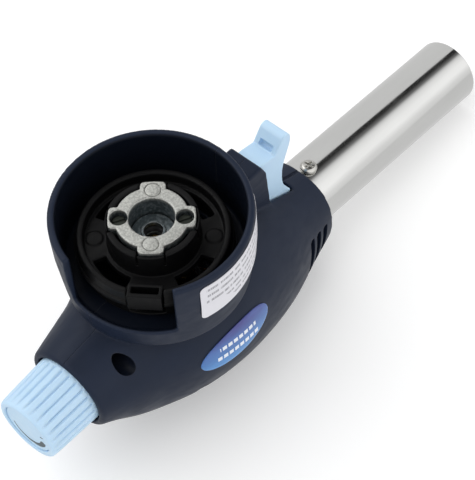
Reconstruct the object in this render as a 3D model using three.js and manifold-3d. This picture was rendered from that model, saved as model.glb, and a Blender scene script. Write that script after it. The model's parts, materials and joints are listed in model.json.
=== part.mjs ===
// A hand torch head that bayonets onto a butane cartridge: two half shells around a cartridge cup,
// a gas valve with its knob, a trigger-operated piezo igniter and a long steel flame tube.
// Millimetres. The origin is the centre of the cup's rim plane, +Z points out of the cup towards
// the cartridge and +X towards the mouth of the flame tube. The halves meet on the plane Y = 0.
import * as THREE from "three";
import { mergeVertices } from "three/addons/utils/BufferGeometryUtils.js";
import Module from "manifold-3d";

const wasm = await Module();
wasm.setup();

// ---- Driving dimensions ----

const WALL = 2.2; // shell wall
const GAP = 0.3; // clearance between pieces that touch
const SEAM = 0.1; // half of the parting gap between the two shells

const CUP = {
  radius: 29,
  bore: 26.77,
  footRadius: 27.9,
  footZ: -20,
  floorZ: -21.5,
  shelf: 2,
  shelfBore: 19,
  bottomZ: -33.5,
};
// The wall of the cup is cut away between these two azimuths, down to floorZ.
const WINDOW = { from: 167, to: 235, floorZ: -19.8 };

// The body's stations along X: half width, top and bottom.
const STATIONS = [
  [-40.4, 14, -31.6, -58.2],
  [-35, 15.6, -30.6, -61.7],
  [-28, 17.8, -29.6, -67.2],
  [-20, 20, -27.2, -72],
  [-10, 24.6, -21.3, -73.6],
  [5, 27.15, -19.5, -76],
  [20, 26.1, -24, -77.8],
  [35, 23, -31.9, -77.5],
  [50, 17.9, -39.8, -75.8],
  [61, 14.7, -44.5, -73.7],
  [64, 13.9, -45.6, -73.1],
];
// Superellipse exponent of the sections: an ellipse at the tail, fuller from the cup on.
const ROUNDNESS = { tail: 2, cup: 2.25, from: -40.4, over: 30 };

// The block that guides the trigger, in front of the cup.
const BLOCK = { halfWidth: 6.1, topZ: -15.6, frontX: 39.4, shoulderX: 41.4, shoulderZ: -19.9 };
const TRIGGER = { halfWidth: 4.3, travel: 4, slotClearance: 0.35 };

// Flame tube: its axis starts inside the body and dips towards the mouth.
const TUBE = { start: [30, 0, -55.8], dip: 6, radius: 11, wall: 0.6, from: 12, to: 110 };
const COLLAR_AT = 31.3; // the shell's front face, measured along the tube axis
const MIXER = { radius: 4.2, wall: 0.8, from: 1, to: 62 };
const BURNER = { radius: 8.8, from: 62.3, to: 70 };
const HOLDER = { from: 31, to: 43 };
const TUBE_SCREW_AT = 36.1;
const INSULATOR = { offset: 6.9, radius: 1.7, from: 20, to: 60 };

// Gas knob: its axis meets the tail of the body.
const KNOB = {
  origin: [-48, 0, -45.2],
  dip: 1.5,
  inner: -9.4,
  outer: 9.4,
  radius: 11.15,
  taper: 0.038,
  flutes: 26,
  fluteDepth: 0.55,
};
const TAIL_BORE = 12.1;
const SPINDLE_RADIUS = 2.5;

const CONNECTOR = {
  topZ: -3.1,
  ringRadius: 10.5,
  earRadius: 12.35,
  earWidth: 7.3,
  earThickness: 3.4,
  bore: 6.57,
  boreZ: -11.2,
  inlet: 2.8,
  earHole: 2.6,
  earPin: 2.4,
  earCentre: 9.3,
  stubRadius: 4,
  stubZ: -33,
};
// Directions of the connector's four ears; pins stand on two of them, screws in the other two.
const PIN_EARS = [41, 221];
const SCREW_EARS = [131, 311];
const EARS = [...PIN_EARS, ...SCREW_EARS];
const BASE = { radius: 22.9, plateZ: -13, plate: 2, ridgeOut: 22.3, ridgeIn: 20, ridgeZ: -9.6 };
const HUB = { in: 11.4, out: 13.4, topZ: -4.2, notchZ: -7.5, slot: 0.6 };

// Screws that close the shells, along Y: x, z of each axis, the y of its head seat and of its tip.
const SHELL_SCREWS = [
  { name: "shell_screw_tail", x: -28, z: -34.3, headY: -2.6, tipY: 5 },
  { name: "shell_screw_belly", x: -8, z: -62, headY: -9, tipY: 5.4 },
  { name: "shell_screw_front", x: 24, z: -66, headY: -9, tipY: 5.4 },
];
const SCREW = { head: 2.2, shank: 1.3, seat: 2.65, boss: 4.2 };

const VENTS = { rows: 3, x: 46.3, pitch: 4.35, width: 3, top: -50.6, drop: 1.8, foot: -66, lean: 15 };

// ---- Geometry helpers ----

const rad = THREE.MathUtils.degToRad;

// One closed, outward-facing geometry with shared vertices and no empty triangles.
function closed(geometry) {
  const bare = geometry.clone();
  for (const name of Object.keys(bare.attributes)) {
    if (name !== "position") bare.deleteAttribute(name);
  }
  const merged = mergeVertices(bare, 1e-4);
  const source = merged.index.array;
  const faces = [];
  for (let i = 0; i < source.length; i += 3) {
    const [a, b, c] = [source[i], source[i + 1], source[i + 2]];
    if (a !== b && b !== c && c !== a) faces.push(a, b, c);
  }
  const position = merged.getAttribute("position");
  const [p, q, r] = [new THREE.Vector3(), new THREE.Vector3(), new THREE.Vector3()];
  let volume = 0;
  for (let i = 0; i < faces.length; i += 3) {
    p.fromBufferAttribute(position, faces[i]);
    q.fromBufferAttribute(position, faces[i + 1]);
    r.fromBufferAttribute(position, faces[i + 2]);
    volume += p.dot(q.cross(r));
  }
  if (volume < 0) faces.reverse();
  merged.setIndex(faces);
  return merged;
}

function solid(geometry) {
  const mesh = closed(geometry);
  return new wasm.Manifold(
    new wasm.Mesh({
      numProp: 3,
      vertProperties: mesh.getAttribute("position").array,
      triVerts: new Uint32Array(mesh.index.array),
    }),
  );
}

function geometryOf(manifold) {
  const mesh = manifold.getMesh();
  const geometry = new THREE.BufferGeometry();
  geometry.setAttribute("position", new THREE.BufferAttribute(mesh.vertProperties, 3));
  geometry.setIndex(new THREE.BufferAttribute(mesh.triVerts, 1));
  return geometry;
}

const joined = (...parts) => geometryOf(parts.map(solid).reduce((a, b) => a.add(b)));
const cut = (base, ...tools) => geometryOf(tools.map(solid).reduce((a, b) => a.subtract(b), solid(base)));
const common = (a, b) => geometryOf(solid(a).intersect(solid(b)));

// A solid of revolution about Z from [radius, z] points; a profile off the axis closes on itself.
function turned(profile, segments = 40) {
  const points = profile.map(([r, z]) => new THREE.Vector2(r, z));
  const onAxis = profile[0][0] === 0 && profile[profile.length - 1][0] === 0;
  if (!onAxis) points.push(points[0].clone());
  return new THREE.LatheGeometry(points, segments).rotateX(Math.PI / 2);
}

const rod = (radius, from, to, segments = 24) =>
  turned([[0, from], [radius, from], [radius, to], [0, to]], segments);

const ring = (inner, outer, from, to, segments = 40) =>
  turned([[inner, from], [outer, from], [outer, to], [inner, to]], segments);

function block(min, max) {
  const size = max.map((v, i) => v - min[i]);
  const centre = max.map((v, i) => (v + min[i]) / 2);
  return new THREE.BoxGeometry(...size).translate(...centre);
}

// A flat outline in the XZ plane given as [x, z] points, thickened along Y.
function plate(points, fromY, toY, bevel = 0) {
  const shape = new THREE.Shape(points.map(([x, z]) => new THREE.Vector2(x, -z)));
  const geometry = new THREE.ExtrudeGeometry(shape, {
    depth: toY - fromY - 2 * bevel,
    bevelEnabled: bevel > 0,
    bevelThickness: bevel,
    bevelSize: bevel,
    bevelOffset: -bevel,
    bevelSegments: 2,
  });
  return geometry.rotateX(-Math.PI / 2).translate(0, fromY + bevel, 0);
}

// A sector of a ring about Z between two azimuths in degrees.
function sector(inner, outer, fromZ, toZ, fromAngle, toAngle, segments = 16) {
  const shape = new THREE.Shape();
  shape.absarc(0, 0, outer, rad(fromAngle), rad(toAngle), false);
  shape.absarc(0, 0, inner, rad(toAngle), rad(fromAngle), true);
  const geometry = new THREE.ExtrudeGeometry(shape, {
    depth: toZ - fromZ,
    bevelEnabled: false,
    curveSegments: segments,
  });
  return geometry.translate(0, 0, fromZ);
}

// A wire or pipe of round section along a smooth curve through the given points.
function wire(points, radius, steps, sides = 8) {
  const section = new THREE.Shape();
  section.absarc(0, 0, radius, 0, 2 * Math.PI, false);
  const path = new THREE.CatmullRomCurve3(points.map((p) => new THREE.Vector3(...p)));
  return new THREE.ExtrudeGeometry(section, { extrudePath: path, steps, curveSegments: sides / 2 });
}

const along = (geometry, matrix) => geometry.clone().applyMatrix4(matrix);
const lyingOnY = (geometry) => geometry.rotateX(-Math.PI / 2);

// The placement that carries local +Z onto the direction that dips from +X by the given angle.
function axisFrame(origin, headingX, dip) {
  const angle = Math.atan2(headingX * Math.cos(rad(dip)), -Math.sin(rad(dip)));
  const matrix = new THREE.Matrix4().makeRotationY(angle);
  return matrix.setPosition(...origin);
}

const TUBE_FRAME = axisFrame(TUBE.start, 1, TUBE.dip);
const KNOB_FRAME = axisFrame(KNOB.origin, -1, KNOB.dip);

// The body's section sizes at any X, smooth through the stations.
const sectionAt = (() => {
  const places = new Float32Array(STATIONS.map((s) => s[0]));
  const values = new Float32Array(STATIONS.flatMap((s) => s.slice(1)));
  const spline = new THREE.CubicInterpolant(places, values, 3, new Float32Array(3));
  return (x) => [...spline.evaluate(x)];
})();

// The body as a loft of superellipse sections, its surface moved inwards by inset.
function bodyLoft(inset, fromX, toX, steps, around) {
  const positions = [];
  const faces = [];
  for (let i = 0; i <= steps; i += 1) {
    const x = fromX + ((toX - fromX) * i) / steps;
    const [halfWidth, top, bottom] = sectionAt(x);
    const centre = (top + bottom) / 2;
    const halfHeight = (top - bottom) / 2 - inset;
    const share = THREE.MathUtils.clamp((x - ROUNDNESS.from) / ROUNDNESS.over, 0, 1);
    const power = 2 / THREE.MathUtils.lerp(ROUNDNESS.tail, ROUNDNESS.cup, share);
    for (let j = 0; j < around; j += 1) {
      const angle = (2 * Math.PI * j) / around;
      const c = Math.cos(angle);
      const s = Math.sin(angle);
      const y = (halfWidth - inset) * Math.sign(c) * Math.abs(c) ** power;
      const z = halfHeight * Math.sign(s) * Math.abs(s) ** power;
      positions.push(x, y, centre + z);
    }
  }
  for (let i = 0; i < steps; i += 1) {
    for (let j = 0; j < around; j += 1) {
      const a = i * around + j;
      const b = i * around + ((j + 1) % around);
      faces.push(a, a + around, b, b, a + around, b + around);
    }
  }
  const last = steps * around;
  for (let j = 1; j < around - 1; j += 1) {
    faces.push(0, j, j + 1, last, last + j + 1, last + j);
  }
  const geometry = new THREE.BufferGeometry();
  geometry.setAttribute("position", new THREE.Float32BufferAttribute(positions, 3));
  geometry.setIndex(faces);
  return geometry;
}

// ---- Materials and the object's tree ----

const finish = (color, roughness, metalness = 0) =>
  new THREE.MeshStandardMaterial({ color, roughness, metalness });
const NAVY = finish(0x232a3c, 0.5);
const BLACK = finish(0x0d0e10, 0.55);
const BLUE = finish(0xa9cdf0, 0.45);
const ZINC = finish(0xb4b4b0, 0.5, 0.9);
const STEEL = finish(0xc8c8c8, 0.22, 1);
const BRASS = finish(0xb5954f, 0.35, 1);
const COPPER = finish(0xb87350, 0.35, 1);
const RUBBER = finish(0x151515, 0.8);
const CERAMIC = finish(0xeeeae0, 0.4);
const PAPER = finish(0xf2f2f4, 0.6);
const ENAMEL = finish(0x2b62b8, 0.3);

const torch = new THREE.Group();
const tubeLine = new THREE.Group();
tubeLine.applyMatrix4(TUBE_FRAME);
const knobLine = new THREE.Group();
knobLine.applyMatrix4(KNOB_FRAME);
torch.add(tubeLine, knobLine);

function piece(name, geometry, material, parent = torch) {
  const mesh = new THREE.Mesh(geometry, material);
  mesh.name = name;
  parent.add(mesh);
  return mesh;
}

// ---- Shells ----

function shellOutside() {
  const cup = turned(
    [
      [0, CUP.bottomZ],
      [19, CUP.bottomZ],
      [24.6, -31],
      [27.2, -27],
      [CUP.footRadius, CUP.footZ],
      [28.75, -11],
      [CUP.radius, -3],
      [CUP.radius, -0.35],
      [CUP.radius - 0.35, 0],
      [0, 0],
    ],
    52,
  );
  const guide = plate(
    [
      [20, BLOCK.topZ],
      [BLOCK.frontX, BLOCK.topZ],
      [BLOCK.shoulderX, BLOCK.shoulderZ],
      [42.6, -36],
      [42.8, -44],
      [20, -44],
    ],
    -BLOCK.halfWidth,
    BLOCK.halfWidth,
    0.5,
  );
  const beyondCollar = along(block([-40, -40, COLLAR_AT], [40, 40, COLLAR_AT + 30]), TUBE_FRAME);
  const body = bodyLoft(0, STATIONS[0][0], 64, 24, 32);
  return cut(joined(body, cup, guide), beyondCollar);
}

function shellInside() {
  const cavity = cut(
    bodyLoft(WALL, -35.2, 62, 15, 24),
    along(block([-40, -40, COLLAR_AT - WALL], [40, 40, COLLAR_AT + 30]), TUBE_FRAME),
  );
  const cupBore = turned(
    [[0, CUP.floorZ], [26.4, CUP.floorZ], [CUP.bore, -1], [CUP.bore + 0.4, 1], [0, 1]],
    52,
  );
  const underCup = turned(
    [
      [0, -31],
      [18.5, -31],
      [22.5, -29.2],
      [24.8, -26.5],
      [25, CUP.floorZ - CUP.shelf],
      [0, CUP.floorZ - CUP.shelf],
    ],
    32,
  );
  const shelfHole = rod(CUP.shelfBore, -30, CUP.floorZ + 1, 32);
  const window = sector(22, 34, WINDOW.floorZ, 2, WINDOW.from, WINDOW.to);
  const tailBore = along(rod(TAIL_BORE, -10.6, 5, 32), KNOB_FRAME);
  const spindleHole = along(rod(3.4, -16, -5, 20), KNOB_FRAME);
  const tubeHole = along(rod(TUBE.radius + GAP, 26, COLLAR_AT + 2, 36), TUBE_FRAME);
  const slotHalf = TRIGGER.halfWidth + TRIGGER.slotClearance;
  const piezoPocket = block([12.2, -5.2, -36.2], [33.2, 5.2, -25.8]);
  const triggerSlot = block([33, -slotHalf, -52], [54.4, slotHalf, -17]);
  const openings = [window, tailBore, spindleHole, tubeHole, piezoPocket, triggerSlot];
  return joined(cavity, cupBore, underCup, shelfHole, ...openings);
}

// Bosses for the screws, ribs that hold the valve and a ring that holds the tube.
function shellRibs() {
  const bosses = SHELL_SCREWS.map((s) => lyingOnY(rod(SCREW.boss, -30, 30, 16)).translate(s.x, 0, s.z));
  const valveHole = along(rod(6.3, -70, 0, 24), KNOB_FRAME);
  const valveRib = cut(block([-19, -30, -57], [-17, 30, -37]), valveHole);
  const tubeRib = along(ring(TUBE.radius + GAP, 24, 23, 25, 24), TUBE_FRAME);
  return joined(...bosses, valveRib, tubeRib);
}

function screwHoles() {
  return SHELL_SCREWS.map((s) => {
    const shank = lyingOnY(rod(SCREW.shank + GAP, -30, s.tipY + 1.2, 12)).translate(s.x, 0, s.z);
    const seat = lyingOnY(rod(SCREW.seat, -40, s.headY, 20)).translate(s.x, 0, s.z);
    return joined(shank, seat);
  });
}

function ventSlots() {
  const slots = [];
  for (let row = 0; row < VENTS.rows; row += 1) {
    const top = VENTS.top - VENTS.drop * row;
    const height = top - VENTS.foot;
    for (const side of [-1, 1]) {
      const slot = new THREE.BoxGeometry(VENTS.width, 14, height);
      slot.translate(0, 0, -height / 2).rotateY(rad(VENTS.lean));
      slots.push(slot.translate(VENTS.x + VENTS.pitch * row + 1.6, side * 19, top));
    }
  }
  return slots;
}

function addShells() {
  const outside = shellOutside();
  const walls = cut(outside, shellInside());
  const ribs = common(shellRibs(), bodyLoft(WALL / 2, -38, 61, 12, 24));
  // A shallow channel runs along the parting line from the trigger to the collar.
  const channel = cut(block([54, -0.6, -48], [66, 0.6, -38]), bodyLoft(0.5, 50, 64, 6, 32));
  const whole = cut(joined(walls, ribs), ...screwHoles(), ...ventSlots(), channel);
  piece("shell_right", common(whole, block([-80, -60, -100], [160, -SEAM, 20])), NAVY);
  piece("shell_left", common(whole, block([-80, SEAM, -100], [160, 60, 20])), NAVY);
}

// ---- Cartridge seat ----

function addCartridgeSeat() {
  const { radius, plateZ, plate: thick, ridgeOut, ridgeIn, ridgeZ } = BASE;
  const disc = turned(
    [
      [8, plateZ - thick],
      [radius - 3.4, plateZ - thick],
      [radius - 3.4, CUP.floorZ + GAP],
      [radius - 1.9, CUP.floorZ + GAP],
      [radius - 1.9, plateZ - thick],
      [radius, plateZ - thick],
      [radius, plateZ - 0.6],
      [radius - 0.4, plateZ],
      [ridgeOut, plateZ],
      [ridgeOut - 0.4, ridgeZ + 0.4],
      [ridgeOut - 0.9, ridgeZ],
      [ridgeIn + 0.7, ridgeZ],
      [ridgeIn, ridgeZ + 0.6],
      [ridgeIn, plateZ],
      [8, plateZ],
    ],
    40,
  );
  const hub = ring(HUB.in, HUB.out, plateZ - 0.5, HUB.topZ, 36);
  const turnedBy = (angle, distance, geometry) =>
    geometry.translate(distance * Math.cos(rad(angle)), distance * Math.sin(rad(angle)), 0);
  const postTop = CONNECTOR.topZ - CONNECTOR.earThickness - GAP;
  const posts = SCREW_EARS.map((angle) =>
    turnedBy(angle, CONNECTOR.earCentre, rod(3, plateZ - 0.5, postTop, 12)));
  // Each ear drops into a notch; a slot at either side of it frees a tab of the hub's wall.
  const notchHalf = CONNECTOR.earWidth / 2 + GAP;
  const notch = common(
    block([5, -notchHalf, HUB.notchZ], [16, notchHalf, 0]),
    rod(CONNECTOR.earRadius + 0.4, HUB.notchZ, 0, 48),
  );
  const slots = [-notchHalf, notchHalf].map((y) =>
    block([12, y - HUB.slot / 2, HUB.notchZ - 1], [15, y + HUB.slot / 2, 0]));
  const earNotches = EARS.map((angle) => joined(notch, ...slots).rotateZ(rad(angle)));
  const openings = EARS.map((angle) =>
    sector(14.8, 18.6, plateZ - 3, plateZ + 1, angle + 24, angle + 66, 6));
  const screwHole = SCREW_EARS.map((angle) =>
    turnedBy(angle, CONNECTOR.earCentre, rod(1.5, plateZ - 4, 0, 12)));
  const pads = SCREW_EARS.map((angle) =>
    turnedBy(angle, 17, rod(2.4, plateZ - 0.5, plateZ + 0.3, 16)));
  const connectorHole = rod(8, plateZ - 4, 0, 24);
  const walls = cut(joined(disc, hub), ...earNotches);
  const base = cut(joined(walls, ...posts, ...pads), ...openings, ...screwHole, connectorHole);
  const catchSeat = block([18.1, -5.2, -20.4], [27.2, 5.2, -5]).rotateZ(rad(216));
  piece("cartridge_base", cut(base, catchSeat), BLACK);

  const lug = cut(block([18.4, -4.9, -15.6], [22.9, 4.9, -9.4]), block([19.3, -3.9, -14], [21.5, 3.9, -8]));
  piece("locating_catch", lug.rotateZ(rad(216)), BLACK);
}

function addConnector() {
  const c = CONNECTOR;
  const earFoot = c.topZ - c.earThickness;
  const ringBody = turned(
    [
      [0, c.stubZ],
      [c.stubRadius, c.stubZ],
      [c.stubRadius, -20],
      [6, -19],
      [7.65, -16],
      [7.65, earFoot],
      [c.ringRadius - 0.5, earFoot],
      [c.ringRadius, earFoot + 0.5],
      [c.ringRadius, c.topZ - 0.3],
      [c.ringRadius - 0.3, c.topZ],
      [0, c.topZ],
    ],
    32,
  );
  const ears = EARS.map((angle) => {
    const half = c.earWidth / 2;
    const shape = new THREE.Shape();
    shape.moveTo(6, -half);
    shape.lineTo(c.earRadius - 1.6, -half);
    shape.quadraticCurveTo(c.earRadius - 0.3, -half + 0.2, c.earRadius - 0.1, -half + 1.5);
    shape.quadraticCurveTo(c.earRadius + 0.2, 0, c.earRadius - 0.1, half - 1.5);
    shape.quadraticCurveTo(c.earRadius - 0.3, half - 0.2, c.earRadius - 1.6, half);
    shape.lineTo(6, half);
    const ear = new THREE.ExtrudeGeometry(shape, {
      depth: c.earThickness,
      bevelEnabled: false,
      curveSegments: 3,
    });
    return ear.translate(0, 0, earFoot).rotateZ(rad(angle));
  });
  const at = (angle, geometry) =>
    geometry.translate(c.earCentre * Math.cos(rad(angle)), c.earCentre * Math.sin(rad(angle)), 0);
  const pads = PIN_EARS.map((angle) => at(angle, rod(c.earPin, c.topZ - 1, c.topZ + 0.25, 18)));
  const holes = SCREW_EARS.map((angle) =>
    joined(at(angle, rod(c.earHole, earFoot + 0.6, 0, 18)), at(angle, rod(1.5, earFoot - 1, 0, 12))));
  const bore = turned(
    [
      [0, c.stubZ - 1],
      [1.2, c.stubZ - 1],
      [1.2, -17.5],
      [c.inlet, -16.8],
      [c.inlet, c.boreZ - 3],
      [4.6, c.boreZ - 3],
      [4.6, c.boreZ],
      [c.bore, c.boreZ],
      [c.bore, c.topZ - 0.3],
      [c.bore + 0.3, c.topZ],
      [c.bore + 0.3, 0],
      [0, 0],
    ],
    28,
  );
  piece("bayonet_connector", cut(joined(ringBody, ...ears, ...pads), bore, ...holes), ZINC);

  const headTop = earFoot + 1.6;
  ["connector_screw_left", "connector_screw_right"].forEach((name, i) => {
    const screw = turned(
      [
        [0, -13.5],
        [1.2, -13.5],
        [1.2, headTop - 0.7],
        [2.2, headTop - 0.7],
        [2.2, headTop - 0.3],
        [1.8, headTop],
        [0, headTop],
      ],
      14,
    );
    const driveSlot = block([-3, -0.3, headTop - 0.35], [3, 0.3, -4]).rotateZ(rad(SCREW_EARS[i] + 20));
    piece(name, at(SCREW_EARS[i], cut(screw, driveSlot)), STEEL);
  });
  const seat = [
    [c.inlet, c.boreZ + GAP],
    [c.bore - GAP, c.boreZ + GAP],
    [c.bore - GAP, c.boreZ + 1],
    [c.inlet + 0.9, c.boreZ + 1],
    [c.inlet + 0.6, c.boreZ + 1.7],
    [c.inlet, c.boreZ + 1.7],
  ];
  piece("seat_ring", turned(seat, 28), STEEL);
  const seal = [];
  for (let i = 0; i < 8; i += 1) {
    const angle = (2 * Math.PI * i) / 8;
    seal.push([3.3 + 0.95 * Math.cos(angle), c.boreZ - 1.6 + 0.95 * Math.sin(angle)]);
  }
  piece("inlet_seal", turned(seal, 20), RUBBER);
  piece("inlet_filter", rod(2.4, -16.4, -15, 24), BRASS);
}

// ---- Gas valve, drawn along the knob's axis: local +Z points out of the tail ----

function addValve() {
  const upright = (radius, from, to) => {
    const toLocal = KNOB_FRAME.clone().invert();
    return along(rod(radius, from, to, 20), toLocal);
  };
  const barrel = turned(
    [[0, -58], [3.4, -58], [3.4, -54], [6, -53], [6, -22], [4.6, -21.5], [4.6, -15.3], [0, -15.3]],
    24,
  );
  const port = upright(6.6, -44, -27.5);
  const passages = [
    upright(CONNECTOR.stubRadius + GAP, -34, -20),
    upright(1.2, -44, -30),
    rod(SPINDLE_RADIUS + GAP, -44, -5, 16),
    rod(1.3, -60, -40, 10),
  ];
  piece("valve_body", cut(joined(barrel, port), ...passages), BRASS, knobLine);

  const spindle = turned(
    [
      [0, -47],
      [0.9, -43.4],
      [SPINDLE_RADIUS, -41],
      [SPINDLE_RADIUS, -27.5],
      [1.7, -27.5],
      [1.7, -25.2],
      [SPINDLE_RADIUS, -25.2],
      [SPINDLE_RADIUS, 3.2],
      [0, 3.2],
    ],
    16,
  );
  piece("valve_spindle", cut(spindle, rod(1.1, -4, 4, 12)), BRASS, knobLine);

  const seal = [];
  for (let i = 0; i < 6; i += 1) {
    const angle = (2 * Math.PI * i) / 6;
    seal.push([2.2 + 0.45 * Math.cos(angle), -26.35 + 0.45 * Math.sin(angle)]);
  }
  piece("spindle_seal", turned(seal, 14), RUBBER, knobLine);

  const hexagon = new THREE.CylinderGeometry(6.2, 6.2, 5, 6).rotateX(Math.PI / 2).translate(0, 0, -16);
  const nutBore = rod(4.9, -20, -15, 16);
  const stemBore = rod(SPINDLE_RADIUS + GAP, -20, -10, 16);
  piece("gland_nut", cut(hexagon, nutBore, stemBore), BRASS, knobLine);
}

function flutedOutline(radius, count, depth) {
  const points = [];
  const pitch = (2 * Math.PI) / count;
  for (let i = 0; i < count; i += 1) {
    for (const [share, drop] of [[0.2, 0], [0.8, 0], [0.94, 1], [1.06, 1]]) {
      const angle = pitch * (i + share);
      const r = radius - depth * drop;
      points.push(new THREE.Vector2(r * Math.cos(angle), r * Math.sin(angle)));
    }
  }
  return new THREE.Shape(points);
}

function addKnob() {
  const k = KNOB;
  const length = k.outer - k.inner;
  // Cross-sections along the knob: distance from the inner end and how much the outline shrinks.
  const rounding = [[0, 1], [0.8, 0.2], [2, 0], [length - 2, 0], [length - 0.7, 0.5], [length, 1.3]];
  const grip = new THREE.ExtrudeGeometry(flutedOutline(k.radius, k.flutes, k.fluteDepth), {
    depth: rounding.length - 1,
    bevelEnabled: false,
    steps: rounding.length - 1,
  });
  const position = grip.getAttribute("position");
  for (let i = 0; i < position.count; i += 1) {
    const [distance, shrink] = rounding[Math.round(position.getZ(i))];
    const z = k.inner + distance;
    const scale = 1 - (k.taper * z + shrink) / k.radius;
    position.setXYZ(i, position.getX(i) * scale, position.getY(i) * scale, z);
  }
  const hollow = ring(4.6, 9.4, k.inner - 1, 5.4, 24);
  const bore = rod(SPINDLE_RADIUS + GAP, k.inner - 1, 3.6, 16);
  const screwWay = rod(2.2, 5, 12, 14);
  const screwHole = rod(1.3, 3, 8, 10);
  const recess = rod(8.6, k.outer - 1.7, k.outer + 1, 32);
  piece("gas_knob", cut(grip, hollow, bore, screwWay, screwHole, recess), BLUE, knobLine);
  piece("knob_cap", rod(8.3, k.outer - 1.4, k.outer - 0.5, 32), BLUE, knobLine);
  const screw = turned([[0, -3], [0.9, -3], [0.9, 5.3], [1.9, 5.3], [1.9, 6.6], [0, 6.6]], 12);
  piece("knob_screw", screw, STEEL, knobLine);
}

// ---- Flame tube, drawn along its own axis: local +Z points to the mouth, local -X is up ----

function addTube() {
  const t = TUBE;
  const upX = -1; // the side of the tube that faces the cartridge
  const screwHole = (radius) =>
    new THREE.CylinderGeometry(radius, radius, 6, 12)
      .rotateZ(Math.PI / 2)
      .translate(upX * (t.radius - 1), 0, TUBE_SCREW_AT);
  const tube = ring(t.radius - t.wall, t.radius, t.from, t.to, 48);
  piece("flame_tube", cut(tube, screwHole(1.7)), STEEL, tubeLine);

  const hoop = ring(t.radius - t.wall - 2.6, t.radius - t.wall - GAP, HOLDER.from, HOLDER.to, 30);
  const sleeve = ring(MIXER.radius + GAP, MIXER.radius + 1.5, HOLDER.from, HOLDER.to, 20);
  const spokes = [0, 120, 240].map((angle) =>
    block([-1, MIXER.radius + 0.8, HOLDER.from], [1, t.radius - 1.6, HOLDER.to]).rotateZ(rad(angle)));
  const leadWay = rod(INSULATOR.radius + GAP, 0, 80, 12).translate(0, -INSULATOR.offset, 0);
  piece(
    "burner_holder",
    cut(joined(hoop, sleeve, ...spokes), screwHole(1.5), leadWay),
    STEEL,
    tubeLine,
  );

  const screw = turned(
    [[0, -4.2], [1.2, -4.2], [1.2, 0.3], [2.75, 0.3], [2.75, 0.9], [2.3, 1.5], [1.2, 1.9], [0, 1.95]],
    18,
  );
  const cross = [0, 90].map((angle) => block([-1.5, -0.3, 1.1], [1.5, 0.3, 3]).rotateZ(rad(angle)));
  const tubeScrew = cut(screw, ...cross).rotateY(-Math.PI / 2);
  piece("tube_screw", tubeScrew.translate(upX * t.radius, 0, TUBE_SCREW_AT), STEEL, tubeLine);

  const mixer = ring(MIXER.radius - MIXER.wall, MIXER.radius, MIXER.from, MIXER.to, 24);
  const airHoles = [0, 90].map((angle) =>
    new THREE.CylinderGeometry(1.8, 1.8, 20, 12).rotateZ(rad(angle)).translate(0, 0, MIXER.from + 7));
  piece("mixing_tube", cut(mixer, ...airHoles), BRASS, tubeLine);

  const head = turned(
    [
      [2.2, BURNER.from + 5],
      [2.2, BURNER.to - 1],
      [3, BURNER.to],
      [BURNER.radius - 0.6, BURNER.to],
      [BURNER.radius, BURNER.to - 0.6],
      [BURNER.radius, BURNER.from + 3.4],
      [5.6, BURNER.from],
      [MIXER.radius + GAP, BURNER.from - 3],
      [MIXER.radius + GAP, BURNER.from + 0.4],
      [4, BURNER.from + 5],
    ],
    28,
  );
  const ports = [];
  for (let i = 0; i < 12; i += 1) {
    ports.push(rod(0.75, BURNER.from - 4, BURNER.to + 1, 6).translate(5.8, 0, 0).rotateZ(rad(15 + 30 * i)));
  }
  const electrodeWay = rod(INSULATOR.radius + GAP, BURNER.from - 4, BURNER.to + 2, 12);
  piece(
    "burner_head",
    cut(head, ...ports, electrodeWay.translate(0, -INSULATOR.offset - 0.6, 0)),
    STEEL,
    tubeLine,
  );

  const insulator = cut(
    rod(INSULATOR.radius, INSULATOR.from, INSULATOR.to, 14),
    rod(0.8, INSULATOR.from - 1, INSULATOR.to + 1, 8),
  );
  piece("electrode_insulator", insulator.translate(0, -INSULATOR.offset, 0), CERAMIC, tubeLine);
  const tip = wire(
    [
      [0, -INSULATOR.offset, INSULATOR.from - 1],
      [0, -INSULATOR.offset, 40],
      [0, -INSULATOR.offset, 60],
      [0, -INSULATOR.offset - 0.3, 66],
      [0, -INSULATOR.offset - 0.3, 71.5],
      [0, -INSULATOR.offset + 1.5, 74],
      [0, -4, 74.5],
    ],
    0.5,
    18,
    6,
  );
  piece("electrode", tip, STEEL, tubeLine);

  const jetHolder = turned(
    [[1.9, -6], [4, -6], [4, -1.4], [3.4, -1], [1.9, -1]],
    6,
  );
  piece("jet_holder", jetHolder, BRASS, tubeLine);
  const nozzle = turned(
    [[0.5, -3.4], [1.6, -3.4], [1.6, 0.6], [0.9, 2.4], [0.5, 2.4]],
    14,
  );
  piece("jet_nozzle", nozzle, BRASS, tubeLine);
}

// ---- Gas pipe ----

function addGasPipe() {
  const start = new THREE.Vector3(0, 0, -58.4).applyMatrix4(KNOB_FRAME);
  const end = new THREE.Vector3(0, 0, -6.4).applyMatrix4(TUBE_FRAME);
  const middle = start.clone().lerp(end, 0.5);
  const route = [
    start.toArray(),
    [start.x + 2.2, 0, start.z - 0.3],
    [middle.x, 0, middle.z],
    [end.x - 2.4, 0, end.z + 0.3],
    end.toArray(),
  ];
  piece("gas_pipe", wire(route, 1.4, 14, 8), COPPER);
}

// ---- Trigger and igniter ----

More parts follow.
